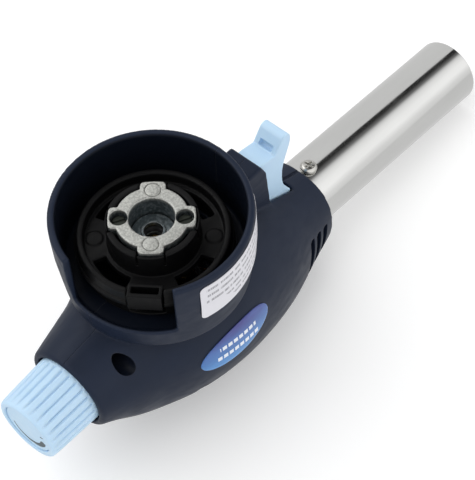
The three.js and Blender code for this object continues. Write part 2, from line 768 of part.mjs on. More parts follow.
function addTrigger() {
  const finger = new THREE.Shape();
  finger.moveTo(50.4, -14.8);
  finger.quadraticCurveTo(51.5, -13.7, 52.9, -14.2);
  finger.quadraticCurveTo(54.4, -14.9, 54.2, -17.6);
  finger.bezierCurveTo(54, -20.5, 51, -24, 50.2, -29);
  finger.bezierCurveTo(49.7, -33, 49.9, -37.5, 53.4, -41.4);
  finger.lineTo(53.4, -43);
  finger.lineTo(50.5, -45.4);
  finger.lineTo(43.2, -45.4);
  finger.lineTo(43.2, -36.2);
  finger.lineTo(37.4, -36.2);
  finger.lineTo(37.4, -17.6);
  finger.lineTo(42, -17.8);
  finger.lineTo(46.6, -19);
  finger.quadraticCurveTo(47.1, -19.2, 47.4, -18.8);
  finger.lineTo(50.4, -14.8);
  const outline = finger.getPoints(5).map((p) => [p.x, p.y]);
  const bar = plate(outline, -TRIGGER.halfWidth, TRIGGER.halfWidth, 0.5);
  const core = block([-1, -2.5, -1.1], [1.8, 2.5, 1.1]).rotateY(rad(35)).translate(47.9, 0, -18.1);
  piece("trigger", cut(bar, core), BLUE);
}

function addIgniter() {
  const axisZ = -31;
  const lying = (geometry) => geometry.rotateY(Math.PI / 2).translate(0, 0, axisZ);
  const body = cut(
    block([12.5, -4.9, axisZ - 4.9], [31, 4.9, axisZ + 4.9]),
    lying(rod(3.9, 16, 32, 20)),
  );
  piece("piezo_housing", body, BLACK);
  const plunger = lying(turned([[0, 24.4], [3.5, 24.4], [3.5, 35.4], [4, 35.4], [4, 37.1], [0, 37.1]], 18));
  piece("piezo_plunger", plunger, PAPER);
  const turns = 4;
  const stepsPerTurn = 10;
  const coil = [];
  for (let i = 0; i <= turns * stepsPerTurn; i += 1) {
    const angle = (2 * Math.PI * i) / stepsPerTurn;
    const x = 16.8 + (7 * i) / (turns * stepsPerTurn);
    coil.push([x, 3 * Math.cos(angle), axisZ + 3 * Math.sin(angle)]);
  }
  piece("piezo_spring", wire(coil, 0.35, turns * stepsPerTurn, 6), STEEL);

  const electrodeEnd = new THREE.Vector3(0, -INSULATOR.offset, INSULATOR.from - 1.6).applyMatrix4(TUBE_FRAME);
  const lead = [
    [11.6, -2, axisZ],
    [9.4, -4.5, axisZ - 1],
    [10.5, -11, axisZ - 7],
    [18, -12.5, axisZ - 16],
    [30, -11, axisZ - 21],
    [40, -8.6, electrodeEnd.z + 2.4],
    electrodeEnd.toArray(),
  ];
  piece("ignition_lead", wire(lead, 0.9, 26, 6), RUBBER);
}

// ---- Fasteners, label and badge ----

function addShellScrews() {
  for (const s of SHELL_SCREWS) {
    const screw = turned(
      [
        [0, -s.tipY],
        [0.7, 1 - s.tipY],
        [SCREW.shank, 2.4 - s.tipY],
        [SCREW.shank, -s.headY + GAP],
        [SCREW.head, -s.headY + GAP],
        [SCREW.head, -s.headY + 1.3],
        [SCREW.head - 0.7, -s.headY + 2],
        [0, -s.headY + 2.1],
      ],
      14,
    );
    const top = -s.headY + 2.1;
    const cross = [0, 90].map((angle) =>
      block([-1.3, -0.3, top - 1], [1.3, 0.3, top + 1]).rotateZ(rad(angle + 20)));
    piece(s.name, cut(screw, ...cross).rotateX(Math.PI / 2).translate(s.x, 0, s.z), STEEL);
  }
}

function addLabelAndBadge() {
  piece("cup_label", sector(29.06, 29.26, -17.2, -2, -110.5, -34, 20), PAPER);
  const oval = new THREE.Shape();
  oval.absellipse(3.5, 44, 13.8, 6.6, 0, 2 * Math.PI, false, rad(4));
  const slug = new THREE.ExtrudeGeometry(oval, { depth: 14, bevelEnabled: false, curveSegments: 12 });
  slug.rotateX(-Math.PI / 2).translate(0, -32, 0);
  const skin = cut(bodyLoft(-0.45, -16, 24, 12, 36), bodyLoft(-0.16, -17, 25, 14, 36));
  piece("side_badge", common(skin, slug), ENAMEL);
}

addShells();
addCartridgeSeat();
addConnector();
addValve();
addKnob();
addTube();
addGasPipe();
addTrigger();
addIgniter();
addShellScrews();
addLabelAndBadge();

export default torch;
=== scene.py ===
"""The finished look of a bayonet butane torch head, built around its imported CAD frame.

Pieces that show their shape are rebuilt finer than their CAD solids, at the same sizes, and stand
for them. The rest are the CAD nodes themselves, shaded smooth. Sizes are in millimetres.
"""

import json
import math

import bmesh
import bpy
import numpy as np
from mathutils import Matrix, Vector


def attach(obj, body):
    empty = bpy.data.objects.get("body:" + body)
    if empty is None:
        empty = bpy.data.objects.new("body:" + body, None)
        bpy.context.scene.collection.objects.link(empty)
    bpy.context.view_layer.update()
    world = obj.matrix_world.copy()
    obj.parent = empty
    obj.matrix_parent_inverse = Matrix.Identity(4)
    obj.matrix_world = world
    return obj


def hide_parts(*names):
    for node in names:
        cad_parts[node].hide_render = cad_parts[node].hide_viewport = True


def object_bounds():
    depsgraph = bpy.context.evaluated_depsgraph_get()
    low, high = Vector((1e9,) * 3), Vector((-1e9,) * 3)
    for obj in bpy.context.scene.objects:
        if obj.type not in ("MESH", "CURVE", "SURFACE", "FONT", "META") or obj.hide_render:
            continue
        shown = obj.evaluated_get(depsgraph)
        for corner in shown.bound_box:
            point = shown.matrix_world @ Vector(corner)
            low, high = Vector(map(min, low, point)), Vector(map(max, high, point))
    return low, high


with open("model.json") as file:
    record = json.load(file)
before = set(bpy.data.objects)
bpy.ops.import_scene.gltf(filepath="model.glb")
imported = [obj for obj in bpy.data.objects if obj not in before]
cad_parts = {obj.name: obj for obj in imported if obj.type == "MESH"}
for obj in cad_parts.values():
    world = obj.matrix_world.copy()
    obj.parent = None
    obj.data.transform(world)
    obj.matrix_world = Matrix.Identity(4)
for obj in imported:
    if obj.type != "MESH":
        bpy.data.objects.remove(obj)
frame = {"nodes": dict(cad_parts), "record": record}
nodes = frame["nodes"]
cad_low, cad_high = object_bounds()

MM = 0.001

# ---- Driving dimensions, as in the CAD source ----

WALL = 2.2
SEAM = 0.03  # half of the parting gap between the two casings
GAP = 0.3
CUP = {"radius": 29, "bore": 26.77, "foot_radius": 27.9, "foot_z": -20, "floor_z": -21.5}
WINDOW = {"from": 167, "to": 235, "floor_z": -19.8}
STATIONS = [  # x, half width, top and bottom of the body
    (-40.4, 14, -31.6, -58.2),
    (-35, 15.6, -30.6, -61.7), (-28, 17.8, -29.6, -67.2), (-20, 20, -27.2, -72),
    (-10, 24.6, -21.3, -73.6), (5, 27.15, -19.5, -76), (20, 26.1, -24, -77.8),
    (35, 23, -31.9, -77.5), (50, 17.9, -39.8, -75.8), (61, 14.7, -44.5, -73.7),
    (64, 13.9, -45.6, -73.1),
]
# Superellipse exponent of the sections: an ellipse at the tail, fuller from the cup on.
ROUNDNESS = {"tail": 2, "cup": 2.25, "from": -40.4, "over": 30}
TUBE = {"start": (30, 0, -55.8), "dip": 6, "radius": 11, "wall": 0.6, "from": 12, "to": 110}
COLLAR_AT = 31.3
TUBE_SCREW_AT = 36.1
KNOB = {"origin": (-48, 0, -45.2), "dip": 1.5, "inner": -9.4, "outer": 9.4, "radius": 11.15}
KNOB_TAPER = 0.038
TAIL_BORE = 12.1
FLUTES = 26
FLUTE_DEPTH = 0.7
SHELL_SCREWS = {  # x, z of the axis and the y of the seat under the head and of the tip
    "shell_screw_tail": (-28, -34.3, -2.6, 5),
    "shell_screw_belly": (-8, -62, -9, 5.4),
    "shell_screw_front": (24, -66, -9, 5.4),
}
SEAT = {"radius": 22.9, "top_z": -13, "low_z": -15, "ridge_in": 20, "ridge_out": 22.3, "ridge_z": -9.6}
HUB = {"in": 11.4, "out": 13.4, "top_z": -4.2, "notch_z": -7.5, "notch_half": 3.95, "slot": 0.6}
CONNECTOR = {"top_z": -3.1, "ear_foot": -6.5, "ring": 10.5, "bore": 6.57, "bore_z": -11.2}
EAR_HOLE = 2.6
EAR_CENTRE = 9.3
PIN_EARS = (41, 221)  # directions of the connector's ears
SCREW_EARS = (131, 311)
EARS = PIN_EARS + SCREW_EARS
CATCH_AT = 216
SCREW = {"head": 2.2, "shank": 1.3, "seat": 2.65, "boss": 4.2}
VENTS = {"rows": 3, "x": 47.9, "pitch": 4.35, "width": 3, "lean": 15}
VENT_HEIGHTS = {"top": -50.6, "drop": 1.8, "foot": -66}
LABEL = {"from": -110.5, "to": -34, "low": -17.2, "high": -2, "corner": 1.8}
BADGE = {"x": 3.5, "z": -44, "a": 13.8, "b": 6.6, "tilt": 4}


# ---- Shapes ----


def axis_frame(origin, heading, dip):
    """The placement that carries local +Z onto the direction dipping from +X or -X."""
    angle = math.atan2(heading * math.cos(math.radians(dip)), -math.sin(math.radians(dip)))
    return Matrix.Translation(Vector(origin) * MM) @ Matrix.Rotation(angle, 4, "Y")


TUBE_FRAME = axis_frame(TUBE["start"], 1, TUBE["dip"])
KNOB_FRAME = axis_frame(KNOB["origin"], -1, KNOB["dip"])
ON_Y = Matrix.Rotation(math.pi / 2, 4, "X")  # carries local +Z onto -Y


def mesh_object(name, points, faces, placement=None):
    mesh = bpy.data.meshes.new(name)
    mesh.from_pydata([Vector(p) * MM for p in points], [], faces)
    if placement is not None:
        mesh.transform(placement)
    made = bpy.data.objects.new(name, mesh)
    bpy.context.scene.collection.objects.link(made)
    return made


def move(piece, x=0, y=0, z=0):
    piece.data.transform(Matrix.Translation(Vector((x, y, z)) * MM))
    return piece


def rounded(points, steps=5):
    """A closed outline whose (x, y, radius) corners become arcs; its (x, y) corners stay sharp."""
    outline = []
    for i, corner in enumerate(points):
        here = Vector(corner[:2])
        if len(corner) == 2:
            outline.append(here)
            continue
        before = Vector(points[i - 1][:2]) - here
        after = Vector(points[(i + 1) % len(points)][:2]) - here
        half = before.angle(after) / 2
        reach = min(corner[2] / math.tan(half), 0.49 * before.length, 0.49 * after.length)
        radius = reach * math.tan(half)
        middle = (before.normalized() + after.normalized()).normalized()
        centre = here + middle * (radius / math.sin(half))
        start = here + before.normalized() * reach - centre
        end = here + after.normalized() * reach - centre
        turn = start.angle(end)
        for k in range(steps + 1):
            t = k / steps
            arm = start * math.sin((1 - t) * turn) + end * math.sin(t * turn)
            outline.append(centre + arm / math.sin(turn))
    return [tuple(p) for p in outline]


def curve(start, *spans, steps=8):
    """Points along Bezier spans, each span given by its control points and its end point."""
    points = [Vector(start)]
    for span in spans:
        controls = [points[-1]] + [Vector(p) for p in span]
        degree = len(controls) - 1
        for k in range(1, (steps if degree > 1 else 1) + 1):
            t = k / (steps if degree > 1 else 1)
            weights = [math.comb(degree, i) * t**i * (1 - t) ** (degree - i) for i in range(degree + 1)]
            points.append(sum((c * w for c, w in zip(controls, weights)), Vector((0, 0))))
    return [tuple(p) for p in points]


def grid_faces(rings, closed):
    """Quads between rings of vertex numbers; a ring of one is a pole."""
    pairs = list(zip(rings, rings[1:]))
    if closed:
        pairs.append((rings[-1], rings[0]))
    faces = []
    for low, high in pairs:
        if len(low) == 1 and len(high) == 1:
            continue
        for k in range(max(len(low), len(high))):
            corners = [low[k % len(low)], low[(k + 1) % len(low)]]
            corners += [high[(k + 1) % len(high)], high[k % len(high)]]
            faces.append(tuple(dict.fromkeys(corners)))
    return faces


def turned(name, profile, placement=None, segments=128, wave=None):
    """A solid of revolution about local Z. wave(angle, radius, z) may change each radius."""
    points = []
    rings = []
    for radius, z in profile:
        around = segments if radius > 1e-6 else 1
        rings.append(list(range(len(points), len(points) + around)))
        for k in range(around):
            angle = 2 * math.pi * k / segments
            r = wave(angle, radius, z) if wave and around > 1 else radius
            points.append((r * math.cos(angle), r * math.sin(angle), z))
    return mesh_object(name, points, grid_faces(rings, True), placement)


def rod(radius, start, end, placement=None, segments=64):
    return turned("rod", [(0, start), (radius, start), (radius, end), (0, end)], placement, segments)


def ring(inner, outer, start, end, placement=None, segments=128):
    profile = [(inner, start), (outer, start), (outer, end), (inner, end)]
    return turned("ring", profile, placement, segments)


def prism(outline, start, end, placement=None):
    """A flat outline extruded along local Z."""
    count = len(outline)
    points = [(x, y, start) for x, y in outline] + [(x, y, end) for x, y in outline]
    faces = [tuple(range(count))[::-1], tuple(range(count, 2 * count))]
    faces += [(i, (i + 1) % count, count + (i + 1) % count, count + i) for i in range(count)]
    return mesh_object("prism", points, faces, placement)


def block(low, high, placement=None):
    outline = [(low[0], low[1]), (high[0], low[1]), (high[0], high[1]), (low[0], high[1])]
    return prism(outline, low[2], high[2], placement)


def plate(outline, half_width):
    """An outline in the XZ plane, thickened along Y."""
    return prism([(x, z) for x, z in outline], -half_width, half_width, ON_Y)


def sector(inner, outer, low, high, start, end):
    steps = 48
    angles = [math.radians(start + (end - start) * i / steps) for i in range(steps + 1)]
    outline = [(outer * math.cos(a), outer * math.sin(a)) for a in angles]
    outline += [(inner * math.cos(a), inner * math.sin(a)) for a in reversed(angles)]
    return prism(outline, low, high)


def section_at(x):
    """The body's half width, top and bottom at any x, smooth through the stations."""
    table = np.array(STATIONS, float)
    places, values = table[:, 0], table[:, 1:]
    slopes = np.diff(values, axis=0) / np.diff(places)[:, None]
    tangents = np.vstack([slopes[:1], (slopes[:-1] + slopes[1:]) / 2, slopes[-1:]])
    i = int(np.clip(np.searchsorted(places, x) - 1, 0, len(places) - 2))
    span = places[i + 1] - places[i]
    t = (x - places[i]) / span
    first = (1 + 2 * t) * (1 - t) ** 2 * values[i] + t * (1 - t) ** 2 * span * tangents[i]
    second = t * t * (3 - 2 * t) * values[i + 1] + t * t * (t - 1) * span * tangents[i + 1]
    return first + second


def roundness_at(x):
    share = min(max((x - ROUNDNESS["from"]) / ROUNDNESS["over"], 0), 1)
    return ROUNDNESS["tail"] + (ROUNDNESS["cup"] - ROUNDNESS["tail"]) * share


def body_loft(inset, start, end, steps=110, around=144, rounding=0):
    """The body between two places along X, its surface moved inwards, its first edge rounded."""
    points = []
    rings = []
    for i in range(steps + 1):
        x = start + (end - start) * (i / steps) ** (1.6 if rounding else 1)
        depth = max(rounding - (x - start), 0)
        drawn_in = rounding - math.sqrt(rounding**2 - depth**2) if rounding else 0
        half_width, top, bottom = section_at(x)
        power = 2 / roundness_at(x)
        centre = (top + bottom) / 2
        width = half_width - inset - drawn_in
        height = (top - bottom) / 2 - inset - drawn_in
        rings.append(list(range(len(points), len(points) + around)))
        for k in range(around):
            c, s = math.cos(2 * math.pi * k / around), math.sin(2 * math.pi * k / around)
            y = width * math.copysign(abs(c) ** power, c)
            z = centre + height * math.copysign(abs(s) ** power, s)
            points.append((x, y, z))
    faces = grid_faces(rings, False) + [tuple(rings[0])[::-1], tuple(rings[-1])]
    return mesh_object("body_loft", points, faces)


def surface_y(x, z, lift):
    """The y of the body's -Y side at (x, z), moved outwards by lift."""
    half_width, top, bottom = section_at(x)
    height = abs(z - (top + bottom) / 2) / ((top - bottom) / 2 + lift)
    power = roundness_at(x)
    return -(half_width + lift) * (1 - height**power) ** (1 / power)


# ---- Working the shapes ----


def settle(piece):
    """Applies the piece's modifiers to its mesh."""
    bpy.context.view_layer.update()
    graph = bpy.context.evaluated_depsgraph_get()
    finished = bpy.data.meshes.new_from_object(piece.evaluated_get(graph))
    piece.modifiers.clear()
    piece.data = finished
    return piece


def outward(piece):
    """Turns all faces outwards, as the solid operations need."""
    work = bmesh.new()
    work.from_mesh(piece.data)
    bmesh.ops.recalc_face_normals(work, faces=work.faces)
    work.to_mesh(piece.data)
    work.free()
    return piece


def operate(operation, piece, tools):
    outward(piece)
    for tool in tools:
        outward(tool)
        step = piece.modifiers.new(operation, "BOOLEAN")
        step.operation = operation
        step.solver = "MANIFOLD"
        step.object = tool
    settle(piece)
    for tool in tools:
        bpy.data.objects.remove(tool)
    return piece


def join(piece, *tools):
    return operate("UNION", piece, tools)


def cut(piece, *tools):
    return operate("DIFFERENCE", piece, tools)


def common(piece, *tools):
    return operate("INTERSECT", piece, tools)


def soften(piece, voxel, passes, keep=1.0):
    """Rounds every edge as a mould or tumbling does: an even fine mesh, smoothed, then thinned."""
    remesh = piece.modifiers.new("even", "REMESH")
    remesh.mode = "VOXEL"
    remesh.voxel_size = voxel * MM
    smooth = piece.modifiers.new("smooth", "SMOOTH")
    smooth.factor = 0.5
    smooth.iterations = passes
    if keep < 1:
        piece.modifiers.new("thin", "DECIMATE").ratio = keep
    settle(piece)
    piece.data.polygons.foreach_set("use_smooth", [True] * len(piece.data.polygons))
    return piece


def shade(piece, angle=35):
    """Smooth shading, with edges sharper than the angle kept sharp."""
    piece.data.polygons.foreach_set("use_smooth", [True] * len(piece.data.polygons))
    piece.data.set_sharp_from_angle(angle=math.radians(angle))
    return piece


def finish_piece(piece, name, body, material, slot, *replaced):
    piece.name = name
    piece.data.name = name
    piece.data.materials.clear()
    piece.data.materials.append(material)
    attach(piece, body)
    if replaced:
        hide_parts(*replaced)
    return piece


# ---- Materials ----


class Paint:
    """A procedural material under construction, in the object's own coordinates."""

    def __init__(self, name, colour, roughness, metallic=0.0, **sockets):
        self.material = bpy.data.materials.new(name)
        self.material.use_nodes = True
        self.tree = self.material.node_tree
        self.shader = self.tree.nodes["Principled BSDF"]
        self.colour = colour
        self.shader.inputs["Base Color"].default_value = (*colour, 1)
        self.shader.inputs["Roughness"].default_value = roughness
        self.shader.inputs["Metallic"].default_value = metallic
        for socket, value in sockets.items():
            self.shader.inputs[socket.replace("_", " ")].default_value = value
        self.place = self.tree.nodes.new("ShaderNodeTexCoord").outputs["Object"]

    def node(self, kind, inputs=None, **settings):
        made = self.tree.nodes.new("ShaderNode" + kind)
        for key, value in settings.items():
            setattr(made, key, value)
        for key, value in (inputs or {}).items():
            if hasattr(value, "is_output"):
                self.tree.links.new(value, made.inputs[key])
            else:
                made.inputs[key].default_value = value
        return made

    def axes(self):
        """The x, y and z of the place being shaded."""
        parts = self.node("SeparateXYZ", {0: self.place}).outputs
        return parts[0], parts[1], parts[2]

    def math(self, operation, *values):
        return self.node("Math", dict(enumerate(values)), operation=operation).outputs[0]

    def length(self, vector):
        return self.node("VectorMath", {0: vector}, operation="LENGTH").outputs["Value"]

    def noise(self, size, detail=3, stretch=(1, 1, 1), turn=0):
        """A soft pattern whose features are about size millimetres across."""
        mapping = self.node("Mapping", {"Vector": self.place, "Rotation": (0, turn, 0)})
        scaled = self.node("VectorMath", {0: mapping.outputs[0], 1: stretch}, operation="MULTIPLY")
        inputs = {"Vector": scaled.outputs[0], "Scale": 1 / (size * MM), "Detail": detail}
        return self.node("TexNoise", inputs).outputs["Fac"]

    def spread(self, value, low, high, start=0.0, end=1.0):
        """The value's range start..end carried onto low..high."""
        inputs = {"Value": value, "From Min": start, "From Max": end, "To Min": low, "To Max": high}
        return self.node("MapRange", inputs).outputs[0]

    def mix(self, factor, first, second):
        made = self.node("Mix", data_type="RGBA")
        for socket, value in (("Factor", factor), ("A", first), ("B", second)):
            target = next(i for i in made.inputs if i.name == socket and i.enabled)
            if hasattr(value, "is_output"):
                self.tree.links.new(value, target)
            else:
                target.default_value = value if socket == "Factor" else (*value, 1)
        return next(o for o in made.outputs if o.enabled)

    def tint(self, factor):
        return tuple(min(c * factor, 1.0) for c in self.colour)

    def bump(self, height, depth, normal=None):
        """Relief of the given depth in millimetres."""
        inputs = {"Height": height, "Distance": depth * MM, "Strength": 1.0}
        if normal is not None:
            inputs["Normal"] = normal
        return self.node("Bump", inputs).outputs[0]

    def edge(self, radius):
        """A normal that rounds edges, and how strongly each point lies on an edge."""
        soft = self.node("Bevel", {"Radius": radius * MM}, samples=6).outputs[0]
        true = self.node("NewGeometry").outputs["Normal"]
        along = self.node("VectorMath", {0: soft, 1: true}, operation="DOT_PRODUCT").outputs["Value"]
        return soft, self.spread(along, 1.0, 0.0, 0.75, 0.99)

    def connect(self, **sockets):
        for socket, value in sockets.items():
            self.tree.links.new(value, self.shader.inputs[socket.replace("_", " ")])
        return self.material


def painted_hollow_shade(paint):
    """Painted shade mask: 1 inside the cartridge cup and the screw wells of the near side, 0 on the
    open casing.
    """
    x, y, z = paint.axes()
    radius = paint.length(paint.node("CombineXYZ", {0: x, 1: y}).outputs[0])
    within = paint.spread(radius, 1.0, 0.0, (CUP["bore"] + 0.2) * MM, (CUP["bore"] + 0.6) * MM)
    above = paint.spread(z, 0.0, 1.0, (CUP["floor_z"] - 1) * MM, CUP["floor_z"] * MM)
    hollow = paint.math("MULTIPLY", within, above)
    near_side = paint.math("LESS_THAN", y, 0.0)
    for well_x, well_z, _, _ in SHELL_SCREWS.values():
        across = paint.math("SUBTRACT", x, well_x * MM)
        up = paint.math("SUBTRACT", z, well_z * MM)
        away = paint.length(paint.node("CombineXYZ", {0: across, 1: up}).outputs[0])
        well = paint.spread(away, 1.0, 0.0, (SCREW["seat"] + 0.01) * MM, (SCREW["seat"] + 0.05) * MM)
        hollow = paint.math("MAXIMUM", hollow, paint.math("MULTIPLY", well, near_side))
    return hollow


def moulded_plastic(
    name, colour, roughness, texture=0.012, variation=0.12, wear_and_sheen=0.25, hollow_shade=1.0, **sockets
):
    """Injection-moulded plastic: fine spark texture, faint flow marks and paler edges, partly wear and
    partly a painted highlight.

    Below 1, the argument for the cup and screw wells darkens the colour and lowers the sheen there:
    painted shade where little light reaches.
    """
    paint = Paint(name, colour, roughness, **sockets)
    cloud = paint.noise(9, 4)
    fine = paint.noise(0.22, 2)
    flow = paint.noise(2.5, 5, stretch=(0.35, 1, 1))
    base = paint.mix(cloud, paint.tint(1 - variation), paint.tint(1 + variation))
    # Painted shade: inside the cup and the screw wells the colour is darkened and the sheen lowered.
    if hollow_shade < 1:
        shaded = painted_hollow_shade(paint)
        base = paint.mix(shaded, base, paint.tint(hollow_shade))
        gloss = paint.shader.inputs["Specular IOR Level"].default_value
        paint.connect(Specular_IOR_Level=paint.spread(shaded, gloss, 0.12))
    # Paler edges: partly wear, partly a painted highlight.
    soft, rim = paint.edge(0.45)
    worn_and_lit_spots = paint.spread(paint.noise(1.3, 4), 0.0, wear_and_sheen, 0.35, 0.7)
    amount = paint.math("MULTIPLY", rim, worn_and_lit_spots)
    pale = tuple(c * 0.6 + 0.12 for c in colour)
    relief = paint.bump(fine, texture, paint.bump(flow, texture * 1.5, soft))
    return paint.connect(
        Base_Color=paint.mix(amount, base, pale),
        Roughness=paint.spread(flow, roughness - 0.07, roughness + 0.09, 0.3, 0.7),
        Normal=relief,
    )


def cast_zinc(name):
    """Tumbled zinc casting: a bright grainy skin with pits, blue-grey and blotchy below its top face,
    its edges paler as a painted highlight.
    """
    colour = (0.54, 0.545, 0.515)
    paint = Paint(name, colour, 0.42, 0.85)
    grain = paint.noise(0.55, 3)
    fine = paint.noise(0.2, 2)
    pits = paint.node(
        "TexVoronoi", {"Vector": paint.place, "Scale": 1 / (0.9 * MM), "Randomness": 1.0}
    ).outputs["Distance"]
    pitted = paint.spread(pits, 1.0, 0.0, 0.05, 0.22)
    base = paint.mix(paint.spread(grain, 0, 1, 0.35, 0.65), paint.tint(0.72), paint.tint(1.15))
    base = paint.mix(paint.spread(pitted, 0, 0.45), base, (0.2, 0.2, 0.2))
    soft, rim = paint.edge(0.3)
    below = paint.spread(paint.axes()[2], 1, 0, -4.6 * MM, -3.4 * MM)
    cloud = paint.spread(paint.noise(1.1, 4), 0, 1, 0.45, 0.75)
    blotch = paint.mix(cloud, (0.07, 0.095, 0.11), (0.3, 0.34, 0.36))
    base = paint.mix(paint.spread(below, 0, 0.9), base, blotch)
    # Painted highlight: the edges are made paler.
    base = paint.mix(paint.spread(rim, 0, 0.5), base, (0.85, 0.85, 0.84))
    relief = paint.bump(grain, 0.06, paint.bump(fine, 0.02, soft))
    return paint.connect(
        Base_Color=base, Roughness=paint.spread(grain, 0.34, 0.55, 0.3, 0.7), Normal=relief
    )


def drawn_steel(name, colour, roughness, axis_dip=None, **sockets):
    """Bright steel with fine drawing lines along its length."""
    paint = Paint(name, colour, roughness, 1.0, **sockets)
    turn = 0 if axis_dip is None else math.radians(-axis_dip)
    lines = paint.noise(0.25, 3, stretch=(0.02, 1, 1), turn=turn)
    smear = paint.noise(7, 4, stretch=(0.3, 1, 1), turn=turn)
    base = paint.mix(smear, paint.tint(0.93), paint.tint(1.05))
    return paint.connect(
        Base_Color=base,
        Roughness=paint.spread(smear, roughness - 0.04, roughness + 0.07, 0.3, 0.7),
        Normal=paint.bump(lines, 0.0016),
    )


def machined_metal(name, colour, roughness, dull=0.3):
    """Turned brass, copper or steel with tool marks, slight tarnish and edges made paler, partly wear
    and partly a painted highlight.
    """
    paint = Paint(name, colour, roughness, 1.0)
    tarnish = paint.noise(3, 5)
    marks = paint.noise(0.18, 2, stretch=(1, 0.15, 0.15))
    base = paint.mix(paint.spread(tarnish, 0, dull, 0.4, 0.75), colour, paint.tint(0.45))
    soft, rim = paint.edge(0.2)
    # Paler edges: partly wear, partly a painted highlight.
    return paint.connect(
        Base_Color=paint.mix(paint.spread(rim, 0, 0.4), base, paint.tint(1.3)),
        Roughness=paint.spread(tarnish, roughness - 0.06, roughness + 0.14, 0.3, 0.75),
        Normal=paint.bump(marks, 0.004, soft),
    )


def soft_rubber(name, colour):
    paint = Paint(name, colour, 0.75)
    dust = paint.noise(1.6, 5)
    dusty = tuple(c + 0.03 for c in colour)
    return paint.connect(
        Base_Color=paint.mix(paint.spread(dust, 0, 1, 0.45, 0.8), colour, dusty),
        Roughness=paint.spread(dust, 0.65, 0.9),
        Normal=paint.bump(paint.noise(0.3, 3), 0.012),
    )


def glazed_ceramic(name):
    colour = (0.82, 0.79, 0.7)
    paint = Paint(name, colour, 0.25, Coat_Weight=0.4)
    speck = paint.noise(1.1, 5)
    return paint.connect(
        Base_Color=paint.mix(paint.spread(speck, 0, 1, 0.55, 0.75), colour, (0.6, 0.52, 0.4)),
        Roughness=paint.spread(speck, 0.2, 0.42),
        Normal=paint.bump(paint.noise(2.2, 3), 0.02),
    )


def label_film(name):
    """White film with rows of short grey bars where a real label has its small print."""
    white = (0.7, 0.695, 0.74)
    paint = Paint(name, white, 0.42)
    x, y, z = paint.axes()
    azimuth = paint.math("ARCTAN2", y, x)
    row = paint.math("MULTIPLY", z, 1 / (2.6 * MM))
    in_line = paint.math("COMPARE", paint.math("FRACT", row), 0.4, 0.2)
    spot = paint.node("CombineXYZ", {0: azimuth, 1: paint.math("FLOOR", row)}).outputs[0]
    words = paint.node("TexNoise", {"Vector": spot, "Scale": 26.0, "Detail": 2.0})
    word = paint.spread(words.outputs["Fac"], 0.0, 1.0, 0.44, 0.48)
    letters = paint.node("TexNoise", {"Vector": spot, "Scale": 150.0, "Detail": 0.0})
    letter = paint.spread(letters.outputs["Fac"], 0.15, 1.0, 0.42, 0.52)
    left = paint.spread(azimuth, 0.0, 1.0, math.radians(-107.5), math.radians(-106.8))
    lowest = paint.spread(azimuth, -11.2 * MM, -15.6 * MM, math.radians(-95), math.radians(-85))
    low = paint.math("GREATER_THAN", z, lowest)
    high = paint.spread(z, 1.0, 0.0, -3.4 * MM, -3.2 * MM)
    ink = in_line
    for factor in (word, letter, low, high, left):
        ink = paint.math("MULTIPLY", ink, factor)
    base = paint.mix(paint.noise(6, 4), paint.tint(0.95), paint.tint(1.03))
    return paint.connect(
        Base_Color=paint.mix(paint.spread(ink, 0, 0.8), base, (0.1, 0.1, 0.12)),
        Roughness=paint.spread(paint.noise(3, 3), 0.36, 0.5),
        Normal=paint.bump(paint.noise(0.8, 3), 0.006),
    )


def badge_film(name):
    """Printed oval, violet-blue at the top fading to sky blue, with two plain pale bars."""
    paint = Paint(name, (0.05, 0.16, 0.5), 0.22, Coat_Weight=0.5, Coat_Roughness=0.08)
    x, _, z = paint.axes()
    tilt = math.radians(BADGE["tilt"])
    across = paint.math("SUBTRACT", x, BADGE["x"] * MM)
    above = paint.math("SUBTRACT", z, BADGE["z"] * MM)
    leaned = paint.math("MULTIPLY", across, math.sin(tilt))
    up = paint.math("ADD", paint.math("MULTIPLY", above, math.cos(tilt)), leaned)
    height = paint.spread(up, 0.0, 1.0, -BADGE["b"] * MM, BADGE["b"] * MM)
    fade = paint.mix(height, (0.02, 0.24, 0.6), (0.05, 0.045, 0.24))
    streak = paint.noise(4, 3, stretch=(0.3, 1, 1))
    fade = paint.mix(paint.spread(streak, 0, 0.35, 0.4, 0.8), fade, (0.08, 0.25, 0.65))
    rows = []
    for middle, half, length in ((1.6, 0.75, 7.2), (-2.2, 0.85, 8.4)):
        in_row = paint.math("COMPARE", up, middle * MM, half * MM)
        rows.append(paint.math("MULTIPLY", in_row, paint.math("COMPARE", across, 0.0, length * MM)))
    step = paint.math("FRACT", paint.math("MULTIPLY", across, 1 / (2.1 * MM)))
    dash = paint.spread(step, 1.0, 0.0, 0.7, 0.74)
    bars = paint.math("MULTIPLY", paint.math("MAXIMUM", *rows), dash)
    return paint.connect(
        Base_Color=paint.mix(bars, fade, (0.75, 0.8, 0.88)),
        Roughness=paint.spread(paint.noise(5, 3), 0.18, 0.3),
        Normal=paint.bump(paint.noise(1.2, 2), 0.008),
    )


